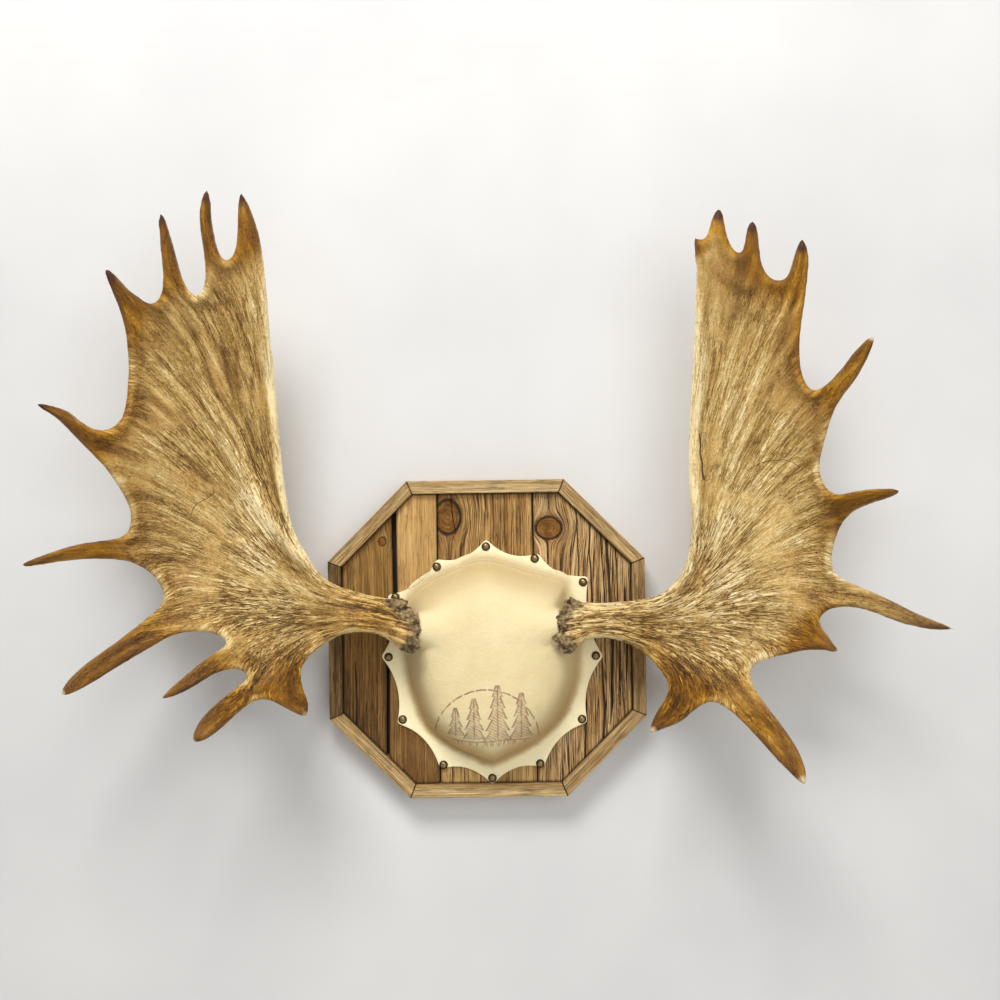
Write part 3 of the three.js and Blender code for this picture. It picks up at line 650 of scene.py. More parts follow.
    def travel(self):
        """Distance from the root through the bone."""
        root = self.inside & (np.abs(self.x) < np.abs(self.x[self.inside]).min() + 2 * STEP)
        way = np.where(root, 0.0, FAR)
        for _ in range(TRAVEL_ROUNDS):
            nearest = way
            for dx, dz in ((1, 0), (0, 1), (1, 1), (1, -1)):
                length = STEP * math.hypot(dx, dz)
                nearest = np.minimum(nearest, np.roll(way, (dx, dz), (0, 1)) + length)
                nearest = np.minimum(nearest, np.roll(way, (-dx, -dz), (0, 1)) + length)
            way = np.where(self.inside, nearest, FAR)
        return np.where(way < FAR / 10, way, 0.0)

    def blur(self, values):
        for _ in range(SPREAD_ROUNDS):
            known = self.inside.astype(float)
            total = self.neighbours(values * known) + values * known
            values = total / np.maximum(self.neighbours(known) + known, 1)
        return values

    def volume(self, outs):
        """About the distance to the surface, positive inside, over the grid and outs."""
        along = (outs[None, None, :] - self.mid[..., None]) * self.facing[..., None]
        base = np.sqrt(np.maximum(self.square, 0) + SOFT)[..., None]
        return ((self.square[..., None] - along**2) / (base + np.abs(along))).astype(np.float32)

    def sample(self, values, x, z):
        """Values at points between the grid's."""
        at_x = np.clip((x - self.low[0]) / STEP, 0, values.shape[0] - 1.001)
        at_z = np.clip((z - self.low[1]) / STEP, 0, values.shape[1] - 1.001)
        kx, kz = at_x.astype(int), at_z.astype(int)
        tx, tz = at_x - kx, at_z - kz
        near = values[kx, kz] * (1 - tz) + values[kx, kz + 1] * tz
        far = values[kx + 1, kz] * (1 - tz) + values[kx + 1, kz + 1] * tz
        return near * (1 - tx) + far * tx


CORNERS = np.array([((k >> 2) & 1, (k >> 1) & 1, k & 1) for k in range(8)])
CUBE_EDGES = [(a, b) for a in range(8) for b in range(a + 1, 8) if bin(a ^ b).count("1") == 1]


def skin(volume):
    """Points, in grid steps, and quads where a volume changes sign."""
    inside = volume > 0
    cells = tuple(n - 1 for n in volume.shape)
    count = np.zeros(cells, np.uint8)
    for corner in CORNERS:
        count += inside[tuple(slice(c, c + n) for c, n in zip(corner, cells))]
    active = (count > 0) & (count < 8)
    where = np.argwhere(active)
    index = np.full(cells, -1, np.int32)
    index[active] = np.arange(len(where))
    values = np.stack([volume[tuple((where + corner).T)] for corner in CORNERS], 1)
    total = np.zeros((len(where), 3))
    crossings = np.zeros(len(where))
    for a, b in CUBE_EDGES:
        va, vb = values[:, a], values[:, b]
        cut = (va > 0) != (vb > 0)
        share = np.where(cut, va / np.where(cut, va - vb, 1), 0)[:, None]
        total += np.where(cut[:, None], CORNERS[a] + share * (CORNERS[b] - CORNERS[a]), 0)
        crossings += cut
    points = where + total / crossings[:, None]
    quads = []
    for axis in range(3):
        b, c = (axis + 1) % 3, (axis + 2) % 3
        near = [slice(1, -1)] * 3
        near[axis] = slice(0, -1)
        far = list(near)
        far[axis] = slice(1, None)
        changed = np.argwhere(inside[tuple(near)] != inside[tuple(far)])
        offset = np.ones(3, int)
        offset[axis] = 0
        changed = changed + offset
        step_b, step_c = np.eye(3, dtype=int)[b], np.eye(3, dtype=int)[c]
        corners = [changed, changed - step_b, changed - step_b - step_c, changed - step_c]
        quad = np.stack([index[tuple(corner.T)] for corner in corners], 1)
        solid_first = inside[tuple(changed.T)]
        quads.append(np.where(solid_first[:, None], quad, quad[:, ::-1]))
    return points, np.concatenate(quads)


def relaxed(points, quads, rounds):
    """Moves each point half of the way to the mean of its neighbours."""
    edges = np.concatenate([quads[:, [k, (k + 1) % 4]] for k in range(4)])
    degree = np.bincount(edges.ravel(), minlength=len(points)).astype(float)
    for _ in range(rounds):
        total = np.zeros_like(points)
        for one, other in ((0, 1), (1, 0)):
            for axis in range(3):
                pull = points[edges[:, other], axis]
                total[:, axis] += np.bincount(edges[:, one], pull, len(points))
        points = points + 0.5 * (total / degree[:, None] - points)
    return points


def point_normals(points, quads):
    """Unit normals, as the sum of the quads' normals round each point."""
    one = points[quads[:, 2]] - points[quads[:, 0]]
    two = points[quads[:, 3]] - points[quads[:, 1]]
    normal = np.cross(one, two)
    total = np.zeros_like(points)
    for k in range(4):
        for axis in range(3):
            total[:, axis] += np.bincount(quads[:, k], normal[:, axis], len(points))
    return total / np.maximum(np.linalg.norm(total, axis=1, keepdims=True), 1e-9)


GROOVE_PERIODS = (6.0, 3.0, 1.5, 0.75, 0.38)  # in units of the grain's coordinate
FINE_PERIODS = (3.2, 1.4, 0.6, 0.26)


def grain_weights(periods, density, wanted, spread):
    """How much each period counts, where its ridges are about the wanted width in mm."""
    density = np.clip(density, periods[-1] / wanted, periods[0] / wanted)
    weights = [bell(np.log(period / density / wanted), spread) for period in periods]
    return [weight / sum(weights) for weight in weights]


def behind_burr(real_x, real_z, side, recess):
    """Distance from the burr's rosette along the beam. Its upper and lower parts are set back."""
    up = real_z - PEDICLE_Z
    back = recess[0] * smooth(8, 33, up) + recess[1] * smooth(10, 35, -up)
    return side * (real_x - SKULL_CENTRE_X) - BURR_REACH - back


def cut_burr(volume, chart, outs, side, recess, seed):
    """Swells the beam's end into a burr, and cuts it off along a ragged rosette."""
    near = np.abs(chart.x[:, 0]) < BURR_REACH + 50
    x, z, out = chart.x[near][..., None], chart.z[near][..., None], outs[None, None, :]
    scale = (-EYE[1] - out) / (-EYE[1] - TRIM_DEPTH)
    real_x, real_z = EYE[0] + (x - EYE[0]) * scale, EYE[2] + (z - EYE[2]) * scale
    up, forward = real_z - PEDICLE_Z, out - PEDICLE_OUT
    radius = np.maximum(np.hypot(up, forward), 1.0)
    turn_x, turn_y = up / radius, forward / radius
    behind = behind_burr(real_x, real_z, side, recess)
    knobs = noise(turn_x * 3.1, turn_y * 3.1, behind / 7 + seed)
    swell = bell(behind - 3, 8) * (2.8 + 4.5 * knobs)
    teeth = noise(turn_x * 4.2, turn_y * 4.2, radius / 13 + seed) * 11 * smooth(12, 26, radius) - 2
    grown = np.minimum(volume[near] + swell, behind - teeth)
    volume = volume.copy()
    volume[near] = grown
    return volume


def burr_pearls(points, behind, burr, seed):
    """How far the burr's pearls stand out at each point."""
    random = np.random.default_rng(seed)
    picks = random.choice(np.nonzero(behind < 18)[0], PEARLS, replace=False)
    sizes = random.uniform(2.2, 4.6, PEARLS)
    near_burr = np.nonzero(burr > 0)[0]
    pearl = np.zeros(len(points))
    for middle, size in zip(points[picks], sizes):
        apart = np.linalg.norm(points[near_burr] - middle, axis=1) / size
        bulge = np.sqrt(np.maximum(1 - apart**2, 0)) * size * 0.7
        pearl[near_burr] = np.maximum(pearl[near_burr], bulge)
    return pearl


def grooves(grain, flow, out, density):
    """Ridges and grooves along the grain, from 1 to -1."""
    total = np.zeros(len(grain))
    weights = grain_weights(GROOVE_PERIODS, density, 7.5, 0.75)
    for k, (period, weight) in enumerate(zip(GROOVE_PERIODS, weights)):
        total += weight * noise(grain / period, flow / 75 + 3 * k, out / 60 + 7 * k)
    return total


def tip_shares(x, z, tips):
    """How near each point is to a tip, and how dark that tip makes it."""
    near, dark = np.zeros(len(x)), np.zeros(len(x))
    for tip_x, tip_z, reach, length, darkness in tips:
        away = np.hypot(x - tip_x, z - tip_z)
        near = np.maximum(near, bell(away, reach))
        own = darkness * (1 - smooth(0.25, 1, away / length))
        dark = np.where(np.abs(own) > np.abs(dark), own, dark)
    return near, dark


def crack_distance(x, z, cracks, front):
    """Signed distance to the nearest crack in the front, times how thin that crack is."""
    nearest = np.full(len(x), NO_CRACK)
    for line, thinness in cracks:
        away, side, along = line_distance(x, z, line)
        signed = away * side
        open_here = (front > 0.5) & (away < NO_CRACK) & (along > 0.005) & (along < 0.995)
        closer = open_here & (np.abs(signed) < np.abs(nearest))
        nearest = np.where(closer, signed * thinness, nearest)
    return nearest


def make_antler(name, side, chart, tips, ridges, cracks, tones, recess, burr_seed):
    """One antler as one skin, from its chart's volume to its grooves, ridges and marks."""
    reach = chart.mid[chart.inside]
    outs = np.arange(reach.min() - 40, reach.max() + 22, STEP)
    steps, quads = skin(cut_burr(chart.volume(outs), chart, outs, side, recess, burr_seed))
    steps = relaxed(steps, quads, 2)
    x = chart.low[0] + steps[:, 0] * STEP
    z = chart.low[1] + steps[:, 1] * STEP
    out = outs[0] + steps[:, 2] * STEP
    points = placed(x, z, out)
    normals = point_normals(points, quads)
    grain, flow, edge, half, density, mid = (
        chart.sample(values, x, z)
        for values in (chart.grain, chart.flow, chart.edge, chart.half, chart.density, chart.mid)
    )
    front = smooth(-0.3, 0.6, (out - mid) / np.maximum(half, 2))
    beam = 1 - smooth(*BEAM_FADE, np.abs(x))

    behind = behind_burr(points[:, 0], points[:, 2], side, recess)
    burr = 1 - smooth(*BURR_FADE, behind + 7 * noise(points[:, 1] / 7, points[:, 2] / 7, 2.0))
    pearl = burr_pearls(points, behind, burr, burr_seed)
    lift = (pearl - 1.2) * burr

    groove = grooves(grain, flow, out, density)
    tip_near, tip_dark = tip_shares(x, z, tips)
    depth = 0.45 + 0.5 * (1 - smooth(250, 450, flow)) + 0.95 * beam
    depth = depth * (1 - 0.65 * tip_near) * smooth(1.5, 8, half)
    lift += groove * depth * (1 - 0.6 * burr)
    lift += 0.35 * noise(x / 14, z / 14, out / 14) * (1 - burr)

    # The palm's front has a thick rim with a hollow along its inner side.
    flat_bone = (1 - beam) * (1 - tip_near) * front
    rim_band = bell(edge - RIM_CREST, 6)
    lift += flat_bone * (1.8 * rim_band - 1.5 * bell(edge - RIM_HOLLOW, 10))
    # painted light: a painted highlight on the rim's crest and painted shade beside it in the hollow
    tone = flat_bone * (0.09 * rim_band - 0.05 * bell(edge - RIM_SHADE, 9))

    gold = np.zeros(len(points))
    for line, width, height, lightness in ridges:
        away, _, along = line_distance(x, z, line)
        taper = smooth(0, 0.18, along) * smooth(0, 0.18, 1 - along)
        ridge = bell(away, width) * taper
        lift += ridge * height * front
        # painted light: each ridge's lightness follows its height, a painted highlight where raised and
        # painted shade where sunken
        tone += ridge * lightness * front
    for cx, cz, rx, rz, lightness, golden in tones:
        patch = bell(x - cx, rx) * bell(z - cz, rz)
        tone += patch * lightness
        gold += patch * golden

    fine = grain_weights(FINE_PERIODS, density, 3.4, 0.5)
    nodes = [f"{name}_{part}" for part in ("beam", "palm", "brow_palm")]
    add_piece(
        name, points + normals * lift[:, None], quads, ANTLER, "antler", nodes,
        grain=grain, flow=flow, out=out, rim=edge, tine=tip_near, tip=tip_dark, beam=beam,
        burr=burr, tone=tone, gold=gold, crack=crack_distance(x, z, cracks, front),
        groove=groove, pearl=pearl * burr,
        fine_1=fine[0], fine_2=fine[1], fine_3=fine[2], fine_4=fine[3],
    )


ANTLER_VALUES = (
    "grain", "flow", "out", "tone", "groove", "tine", "rim", "beam", "burr", "pearl", "tip", "gold",
    "crack",
)


def antler_noises(s):
    """The points' values, with noises of the place and noises drawn out along the grain."""
    point = SimpleNamespace(**{name: s.attribute(name) for name in ANTLER_VALUES})
    point.streak, point.dash, point.fibre = 0.0, 0.0, 0.0
    for k, period in enumerate(FINE_PERIODS):
        across = point.grain / period
        weight = s.attribute(f"fine_{k + 1}")
        long = s.combine(across * 0.6, point.flow / 125, point.out / 30)
        point.streak = s.noise(long, 1.0, 3.0, 0.55) * weight + point.streak
        middle = s.combine(across * 1.25, point.flow / 26, point.out / 20)
        point.dash = s.noise(middle, 1.0, 2.0, 0.5, 0.3) * weight + point.dash
        short = s.combine(across * 2.3, point.flow / 15, point.out / 12)
        point.fibre = s.noise(short, 1.0, 2.0, 0.6) * weight + point.fibre
    point.rays = s.noise(s.combine(point.grain / 3.4, point.flow / 170, 0.0), 1.0, 3.0, 0.6)
    point.patches = s.noise(s.place, 14.0, 4.0, 0.6)
    point.mottling = s.noise(s.place, 75.0, 4.0, 0.6)
    point.specks = s.noise(s.place, 420.0, 2.0, 0.7)
    point.pores, point.beads = s.cells(s.place, 330.0), s.cells(s.place, 190.0)
    point.at_rim = s.step(point.rim, 12.0, 1.0)
    point.bay = point.at_rim * s.step(point.tine, 0.7, 0.15)
    return point


def antler_marks(s, point):
    """Shares of the marks: those scored along the grain, open pores and drying cracks."""
    vein = s.step(abs(point.streak - 0.5), 0.045, 0.01)
    crease = s.step(abs(point.dash - 0.53), 0.04, 0.014)
    return SimpleNamespace(
        vein=vein * s.step(point.patches + point.mottling * 0.3, 0.48, 0.72),
        cut=s.step(point.dash, 0.47, 0.36) * s.step(point.mottling, 0.34, 0.6),
        crease=crease * s.step(point.patches, 0.38, 0.54),
        crest=s.step(point.dash, 0.57, 0.64) * s.step(point.mottling, 0.42, 0.58),
        hole=s.step(point.pores, 0.26, 0.1) * s.step(point.mottling, 0.48, 0.6),
        split=s.step(abs(point.crack), 0.75, 0.3),
    )


def antler_light(s, point, marks):
    """How light the bone is, about 0.7 in the middle of a palm."""
    near_root = s.step(point.flow, 480.0, 220.0, 0.32, 1.5)
    calm = point.tine * -0.68 + 1.0
    uneven = (
        (point.fibre - 0.5) * near_root
        + (point.specks - 0.5) * 0.65
        + (point.patches - 0.5) * 0.6
        + (point.mottling - 0.5) * 0.35
        + (point.rays - 0.5) * 0.7
    )
    scored = marks.cut * -0.12 + (marks.crease * -0.34 + marks.crest * 0.22)
    light = (
        uneven * calm
        + (point.streak - 0.5) * (point.beam * 1.9 + 0.52)
        + point.groove * 0.3
        + (scored * near_root + marks.vein * -0.26) * calm
        # painted highlight along the palm's edges between the tines
        + point.bay * 0.32
        + point.tine * -0.15
    )
    return light * 1.15 + point.tone + 0.68


def antler_colour(s, point, marks):
    """Pale bone, amber towards the tines and the beam, with crusted burrs and coloured tips."""
    light = antler_light(s, point, marks)
    bone = s.ramp(
        light, (0.0, "5e4119"), (0.25, "8a6733"), (0.5, "b28f50"), (0.75, "cfb174"),
        (1.0, "ead6a4"),
    )
    amber = s.ramp(
        light, (0.0, "3a210a"), (0.3, "5e3b0d"), (0.55, "83560f"), (0.8, "aa7a1e"),
        (1.0, "cea64c"),
    )
    golden = (
        point.tine * 1.7
        + (point.at_rim * 0.45 + point.bay * -0.6)
        + (point.beam * 0.45 + point.gold)
        + (point.patches - 0.5) * 0.4
    )
    crust = s.ramp(
        point.mottling * 0.7 + point.pearl * 0.08 + point.beads * -0.55, (0.0, "33261a"),
        (0.22, "86704f"), (0.45, "ae9774"), (0.8, "d2c09c"),
    )
    crusted = s.step(point.burr + (point.mottling - 0.5) * 0.6, 0.2, 0.9)
    return s.coats(
        bone, (s.step(golden, 0.1, 1.0), amber), (crusted * 0.88, crust),
        (s.step(point.tip + (point.mottling - 0.5) * 0.7, 0.1, 0.95), "4a2810"),
        (s.step(point.tip * -1.0, 0.15, 0.8), "d8c49a"),
        (marks.hole * 0.55, "4a3014"), (marks.split * 0.85, "2c190c"),
    )


def antler_material():
    """Dry bone with grooves and fibres along its grain, mottled, pored and a little glossy."""
    s = Shader("antler_bone")
    point = antler_noises(s)
    marks = antler_marks(s, point)
    colour = antler_colour(s, point, marks)
    height = (
        point.streak * 0.6
        + point.fibre * 0.7
        + point.mottling * 0.3
        + (marks.cut + marks.vein + marks.crease * 1.4) * -0.5
        + marks.hole * -0.3
        + marks.split * -1.2
        + point.beads * point.burr * -1.8
    )
    roughness = s.step(point.fibre + point.patches * 0.5, 0.5, 1.0, 0.62, 0.42)
    return s.finish(colour, roughness, s.bump(height, 0.0012), **{"Specular IOR Level": 0.28})


ANTLER = antler_material()


def tips_of(rows, lengths):
    """(x, z, reach of its colour, length, darkness) of each tip, from the row that starts there."""
    found = []
    for k, (length, dark) in enumerate(lengths, 1):
        tip = rows[k][0]
        bays = [row[len(row) // 2] for row in rows[max(k - 1, 1) : min(k + 1, len(rows) - 1)]]
        reach = 0.85 * sum(math.dist(tip, bay) for bay in bays) / max(len(bays), 1)
        found.append((*tip, max(reach, 28.0), length, dark))
    return found


LEFT_RIDGES = [
    # (points along it, half width, height, how much lighter: painted highlight on raised ridges, painted
    # shade in sunken channels and creases)
    ([(-413, 375), (-377, 293), (-351, 242), (-324, 192), (-293, 146), (-234, 81)], 9.5, 5.4, 0.30),
    ([(-421, 452), (-408, 384), (-377, 320), (-355, 274)], 8, 1.6, 0.14),
    ([(-371, 439), (-359, 320), (-332, 265), (-306, 196), (-279, 137)], 14, -5.0, -0.17),
    ([(-307, 456), (-304, 319), (-298, 251), (-283, 182), (-261, 123), (-230, 88)], 6, 1.8, 0.14),
    ([(-480, 426), (-453, 394), (-413, 352), (-373, 301)], 2.8, -1.1, -0.30),
    ([(-420, 462), (-405, 411), (-385, 356), (-354, 301)], 2.8, -1.1, -0.28),
    ([(-380, 443), (-371, 392), (-363, 347), (-354, 319)], 2.6, -0.9, -0.26),
    ([(-352, 447), (-358, 392), (-354, 347)], 3.4, -1.0, -0.18),
    ([(-330, 410), (-335, 346), (-336, 301)], 3.0, -0.8, -0.18),
    ([(-468, 281), (-441, 262), (-414, 243), (-392, 225)], 2.6, -1.0, -0.28),
    ([(-442, 184), (-397, 161), (-352, 124), (-325, 96)], 3.0, -1.0, -0.22),
    ([(-475, 126), (-416, 107), (-353, 83)], 3.4, -1.2, -0.22),
    ([(-150, 42), (-200, 46), (-250, 60), (-275, 100)], 8, 1.4, 0.14),
]
LEFT_CRACKS = [
    # (points along it, how much thinner than a full crack)
    ([(-354, 306), (-343, 280), (-332, 251), (-320, 228), (-310, 201), (-292, 170), (-275, 137)], 1.3),
    ([(-392, 225), (-390, 220), (-391, 215), (-396, 210), (-404, 206), (-415, 200), (-421, 193),
      (-424, 184)], 1.6),
]
LEFT_TONES = [
    # (x, z, half width, half height, how much lighter, how much more golden)
    (-400, 230, 210, 330, -0.07, 0.0), (-165, 35, 60, 60, -0.12, 0.35),
    (-330, 180, 60, 60, 0.10, -0.2), (-420, 200, 80, 90, 0.05, -0.15),
    (-400, 440, 90, 80, -0.08, -0.1), (-310, 250, 16, 110, 0.02, 0.2), (-440, 60, 60, 40, -0.03, 0.2),
    (-320, -50, 90, 50, -0.06, 0.4), (-390, 60, 90, 40, 0.06, -0.1), (-350, 590, 22, 40, -0.2, 0.7),
    (-535, 500, 22, 50, -0.1, 0.8), (-310, 30, 50, 16, -0.06, 0.1), (-468, 478, 44, 30, 0.2, -0.3),
    (-302, 330, 12, 220, -0.05, 0.3),
]
# Each tip's coloured length in mm and how dark it is, from 1 to -1 for worn pale.
LEFT_TIPS = [
    (34, 0.95), (34, 1.0), (30, 0.9), (36, 1.0), (40, 0.8), (30, 0.5), (9, -1.0),
    (8, -0.6), (9, -0.7), (12, -0.5),
]
make_antler(
    "left_antler", -1, Chart(LEFT_OUTLINE, LEFT_SHEET, (-205, 45)), tips_of(LEFT_OUTLINE, LEFT_TIPS),
    LEFT_RIDGES, LEFT_CRACKS, LEFT_TONES, (29, 19), 3,
)

RIGHT_RIDGES = [
    ([(316, 487), (314, 393), (308, 299), (308, 223), (307, 154), (292, 107), (264, 70)], 6, 1.8, 0.16),
    ([(331, 430), (331, 326), (332, 298), (325, 230), (326, 170)], 6, -1.6, -0.14),
    ([(312, 548), (336, 519), (368, 491), (415, 485)], 9, -2.0, -0.16),
    ([(418, 363), (411, 339), (401, 316)], 2.6, -0.9, -0.22),
    ([(484, 53), (433, 68), (376, 68), (320, 50)], 3.0, -1.0, -0.2),
    ([(411, 171), (377, 129), (339, 88), (296, 60)], 3.0, -1.0, -0.2),
    ([(445, -41), (399, -21), (338, 3), (277, 23)], 3.4, -1.2, -0.2),
    ([(430, 230), (395, 170), (350, 110), (310, 75)], 2.6, -0.9, -0.2),
    ([(150, 30), (200, 32), (250, 40), (290, 70)], 8, 1.4, 0.14),
]
RIGHT_CRACKS = [
    ([(309, 292), (311, 274), (310, 262), (314, 248), (313, 238), (317, 222)], 0.36),
    ([(379, 236), (388, 243), (398, 248), (414, 251), (431, 252), (444, 248), (454, 240)], 1.5),
]
RIGHT_TONES = [
    (395, 180, 90, 80, 0.13, -0.15), (374, 31, 80, 50, 0.08, -0.1), (400, 330, 60, 90, 0.02, -0.1),
    (350, 490, 50, 40, -0.04, 0.15), (310, -70, 90, 50, -0.06, 0.4), (480, 268, 7, 10, -0.35, 0.3),
    (630, 22, 110, 60, -0.17, -1.6), (380, 420, 90, 90, 0.03, -0.1), (423, 497, 50, 40, 0.1, -0.1),
    (302, 280, 14, 220, -0.06, 0.35),
]
RIGHT_TIPS = [
    (16, 0.7), (30, 1.0), (30, 1.0), (34, 0.95), (13, -0.8), (18, 0.5), (14, -0.6), (10, -0.5),
    (22, -0.8), (18, -0.7),
]
make_antler(
    "right_antler", 1, Chart(RIGHT_OUTLINE, RIGHT_SHEET, (215, 30)),
    tips_of(RIGHT_OUTLINE, RIGHT_TIPS), RIGHT_RIDGES, RIGHT_CRACKS, RIGHT_TONES, (18, 18), 5,
)


# ---- Leather cover ----

SPOKES = 500
TUCK = 3.0  # how far the sleeves reach in under the burrs
FLANGE_TOP = BOARD_FACE + GAP + LEATHER
FOOT_START = 1.07  # where the flange turns up into the dome, by share of the foot's reach
# The cut edge's section as (inward, below the flange's top, share of raw edge).
CUT_EDGE = [
    (-0.5, -2.3, 1.0), (0.0, -1.9, 1.0), (0.0, -0.7, 1.0), (-0.3, -0.2, 0.6), (-0.9, 0.0, 0.0),
]


def reach_of(loop, centre, angles):
    """How far a closed loop lies from a centre, in each direction."""
    away = np.asarray(loop) - centre
    around = np.unwrap(np.arctan2(away[:, 1], away[:, 0]))
    reach = np.hypot(*away.T)
    if around[-1] < around[0]:
        around, reach = around[::-1], reach[::-1]
    return np.interp(angles, around, reach, period=2 * math.pi)


def unit(vector):
    return vector / np.hypot(*vector)


def scallops():
    """The leather's rim: concave scallops between rounded cusps."""
    cusps = on_boards(CUSPS)
    centre = np.array([SKULL_CENTRE_X, DOME_PEAK[1] / 2])
    share = np.linspace(0, 1, 40)[:, None]
    rounding = np.linspace(0, 1, 12)[1:-1, None]
    loop = []
    controls = []
    for k, cusp in enumerate(cusps):
        middle = (cusp + cusps[(k + 1) % len(cusps)]) / 2
        controls.append(middle + unit(centre - middle) * 2 * SCALLOP_SAG)
    for k, cusp in enumerate(cusps):
        after = cusps[(k + 1) % len(cusps)]
        leave = cusp + unit(controls[k] - cusp) * CUSP_ROUNDING
        arrive = after + unit(controls[k] - after) * CUSP_ROUNDING
        onward = after + unit(controls[(k + 1) % len(cusps)] - after) * CUSP_ROUNDING
        for a, b, c, t in ((leave, controls[k], arrive, share), (arrive, after, onward, rounding)):
            loop.append(a * (1 - t) ** 2 + 2 * b * t * (1 - t) + c * t**2)
    return np.concatenate(loop)


def dome_rise(share):
    """The dome's height over the boards, by share of the foot's reach."""
    shares, rises = np.array(DOME_PROFILE[::-1], float).T
    shares, rises = np.r_[-0.42, -0.02, shares], np.r_[74, 77, rises]
    place = np.linspace(0, len(shares) - 1, 400)
    k = np.clip(place.astype(int), 1, len(shares) - 3)
    across, up = (
        catmull_rom(*(values[k + step] for step in (-1, 0, 1, 2)), place - k)
        for values in (shares, rises)
    )
    order = np.argsort(across)
    rise = np.interp(share, across[order], up[order])
    return np.where(share > 1, -(share - 1) * 225, rise)


def leather_rings(rim, foot):
    """Each ring's reach, distance out and share of cut edge: rim, flange, then up the dome."""
    rings, outs, cuts = [], [], []
    for inward, drop, cut in CUT_EDGE:
        rings.append(rim + inward)
        outs.append(np.full(SPOKES, FLANGE_TOP + drop))
        cuts.append(np.full(SPOKES, cut))
    for share in 1 - np.linspace(0, 1, 12)[1:] ** 0.8:
        rings.append(foot * FOOT_START + (rim - 0.9 - foot * FOOT_START) * share)
    for share in [*np.linspace(FOOT_START, 0.7, 60)[1:], *np.linspace(0.7, 0.03, 62)[1:]]:
        rings.append(foot * share)
    for ring in rings[len(CUT_EDGE):]:
        dome = BOARD_FACE + dome_rise(ring / foot)
        outs.append(smooth_max(dome, np.full(SPOKES, FLANGE_TOP), 3.5))
        cuts.append(np.zeros(SPOKES))
    return np.array(rings), np.array(outs), np.array(cuts)


def over_pedicles(x, outs, z, on_dome):
    """Pushes the dome out to a sleeve over each pedicle, away from a point inside."""
    core = np.array([SKULL_CENTRE_X, 75.0, 15.0])
    ray = np.stack([x, outs, z], -1) - core
    length = np.linalg.norm(ray, axis=-1)
    way = ray / length[..., None]
    off = np.array([PEDICLE_OUT, PEDICLE_Z]) - core[1:]
    a = way[..., 1] ** 2 + way[..., 2] ** 2
    b = way[..., 1] * off[0] + way[..., 2] * off[1]
    c = off @ off - PEDICLE_RADIUS**2
    to_wall = (b + np.sqrt(b * b - a * c)) / np.maximum(a, 1e-9)
    to_end = (BURR_REACH + TUCK) / np.maximum(np.abs(way[..., 0]), 1e-9)
    aside = np.abs(x - SKULL_CENTRE_X)
    seam = 36 - 16 * smooth(60, 95, aside)
    longer = smooth_max(length, np.minimum(to_wall, to_end), seam) - length
    longer = longer * smooth(28, 84, aside)
    moved = core + way * (length + longer * on_dome)[..., None]
    return moved[..., 0], moved[..., 1], moved[..., 2]


def make_leather():
    """The cover as one skin of rings round the dome's peak."""
    centre = np.array(DOME_PEAK)
    angles = full_turn(SPOKES)
    rim = reach_of(scallops(), centre, angles)
    foot = reach_of(rounded_loop(DOME_FOOT, 400), centre, angles)
    rings, outs, cuts = leather_rings(rim, foot)
    on_dome = smooth(FLANGE_TOP + 4, FLANGE_TOP + 16, outs)
    x, outs, z = over_pedicles(
        centre[0] + rings * np.cos(angles), outs, centre[1] + rings * np.sin(angles), on_dome
    )

    # Slack in the hide: soft swells, puckers at the foot and dimples at the tacks.
    pucker = bell(rings / foot - 1.03, 0.06)
    outs = outs + 0.9 * noise(x / 55, z / 55, 3.0) * on_dome
    outs = outs + 0.45 * pucker * noise(np.cos(angles) * 9 + 0 * x, np.sin(angles) * 9 + 0 * x, 5.0)
    raised = (rings > foot * 1.05) & (cuts < 0.5)
    outs = outs + 0.25 * raised * (1 + noise(x / 20, z / 20, 9.0))
    for tack_x, tack_z in on_boards(TACKS):
        away = np.hypot(x - tack_x, z - tack_z)
        outs = outs - 0.5 * bell(away, 7.5) * (cuts < 0.5) * (outs < FLANGE_TOP + 3)

    peak = [centre[0], -(outs[-1].mean() + 0.05), centre[1]]
    add_piece(
        "leather_cover_skin", np.vstack([np.stack([x, -outs, z], -1).reshape(-1, 3), peak]),
        ring_faces(len(rings), SPOKES), LEATHER_HIDE, "leather", ("leather_cover",),
        ratio=np.append(rings / foot, 0.0), turn=np.append(np.tile(np.sin(angles), len(rings)), 0.0),
        cut=np.append(cuts, 0.0),
    )


def fir_tree(s, x, z, middle, foot, height, tiers, spread):
    """Shares of line and hatching for one drawn fir."""
    up = (z - foot) / height
    tier = s.fract(up * tiers)
    width = (up * -0.82 + 1.0) * (tier * -0.42 + 1.0)
    width *= spread
    away = abs(x - middle)
    inside = s.step(up, 0.0, 0.004) * s.step(up, 1.0, 0.996)
    line = s.step(abs(away - width), 0.0015, 0.0007)
    trunk = s.step(away, 0.0014, 0.0007)
    body = s.step(away - width, 0.0005, -0.0005)
    return line * inside, trunk * inside, body * inside


# The drawing's firs as (middle, foot, height, tiers, half width), in metres.
FIRS = [
    (0.014, -0.137, 0.080, 5.0, 0.0195), (-0.019, -0.135, 0.060, 4.0, 0.0160),
    (0.047, -0.134, 0.066, 4.0, 0.0165), (-0.045, -0.130, 0.042, 3.0, 0.0120),
]
GROUND_X, GROUND_Z = 0.002, -0.1375
ARC_X, ARC_RADIUS = -0.002, 0.074


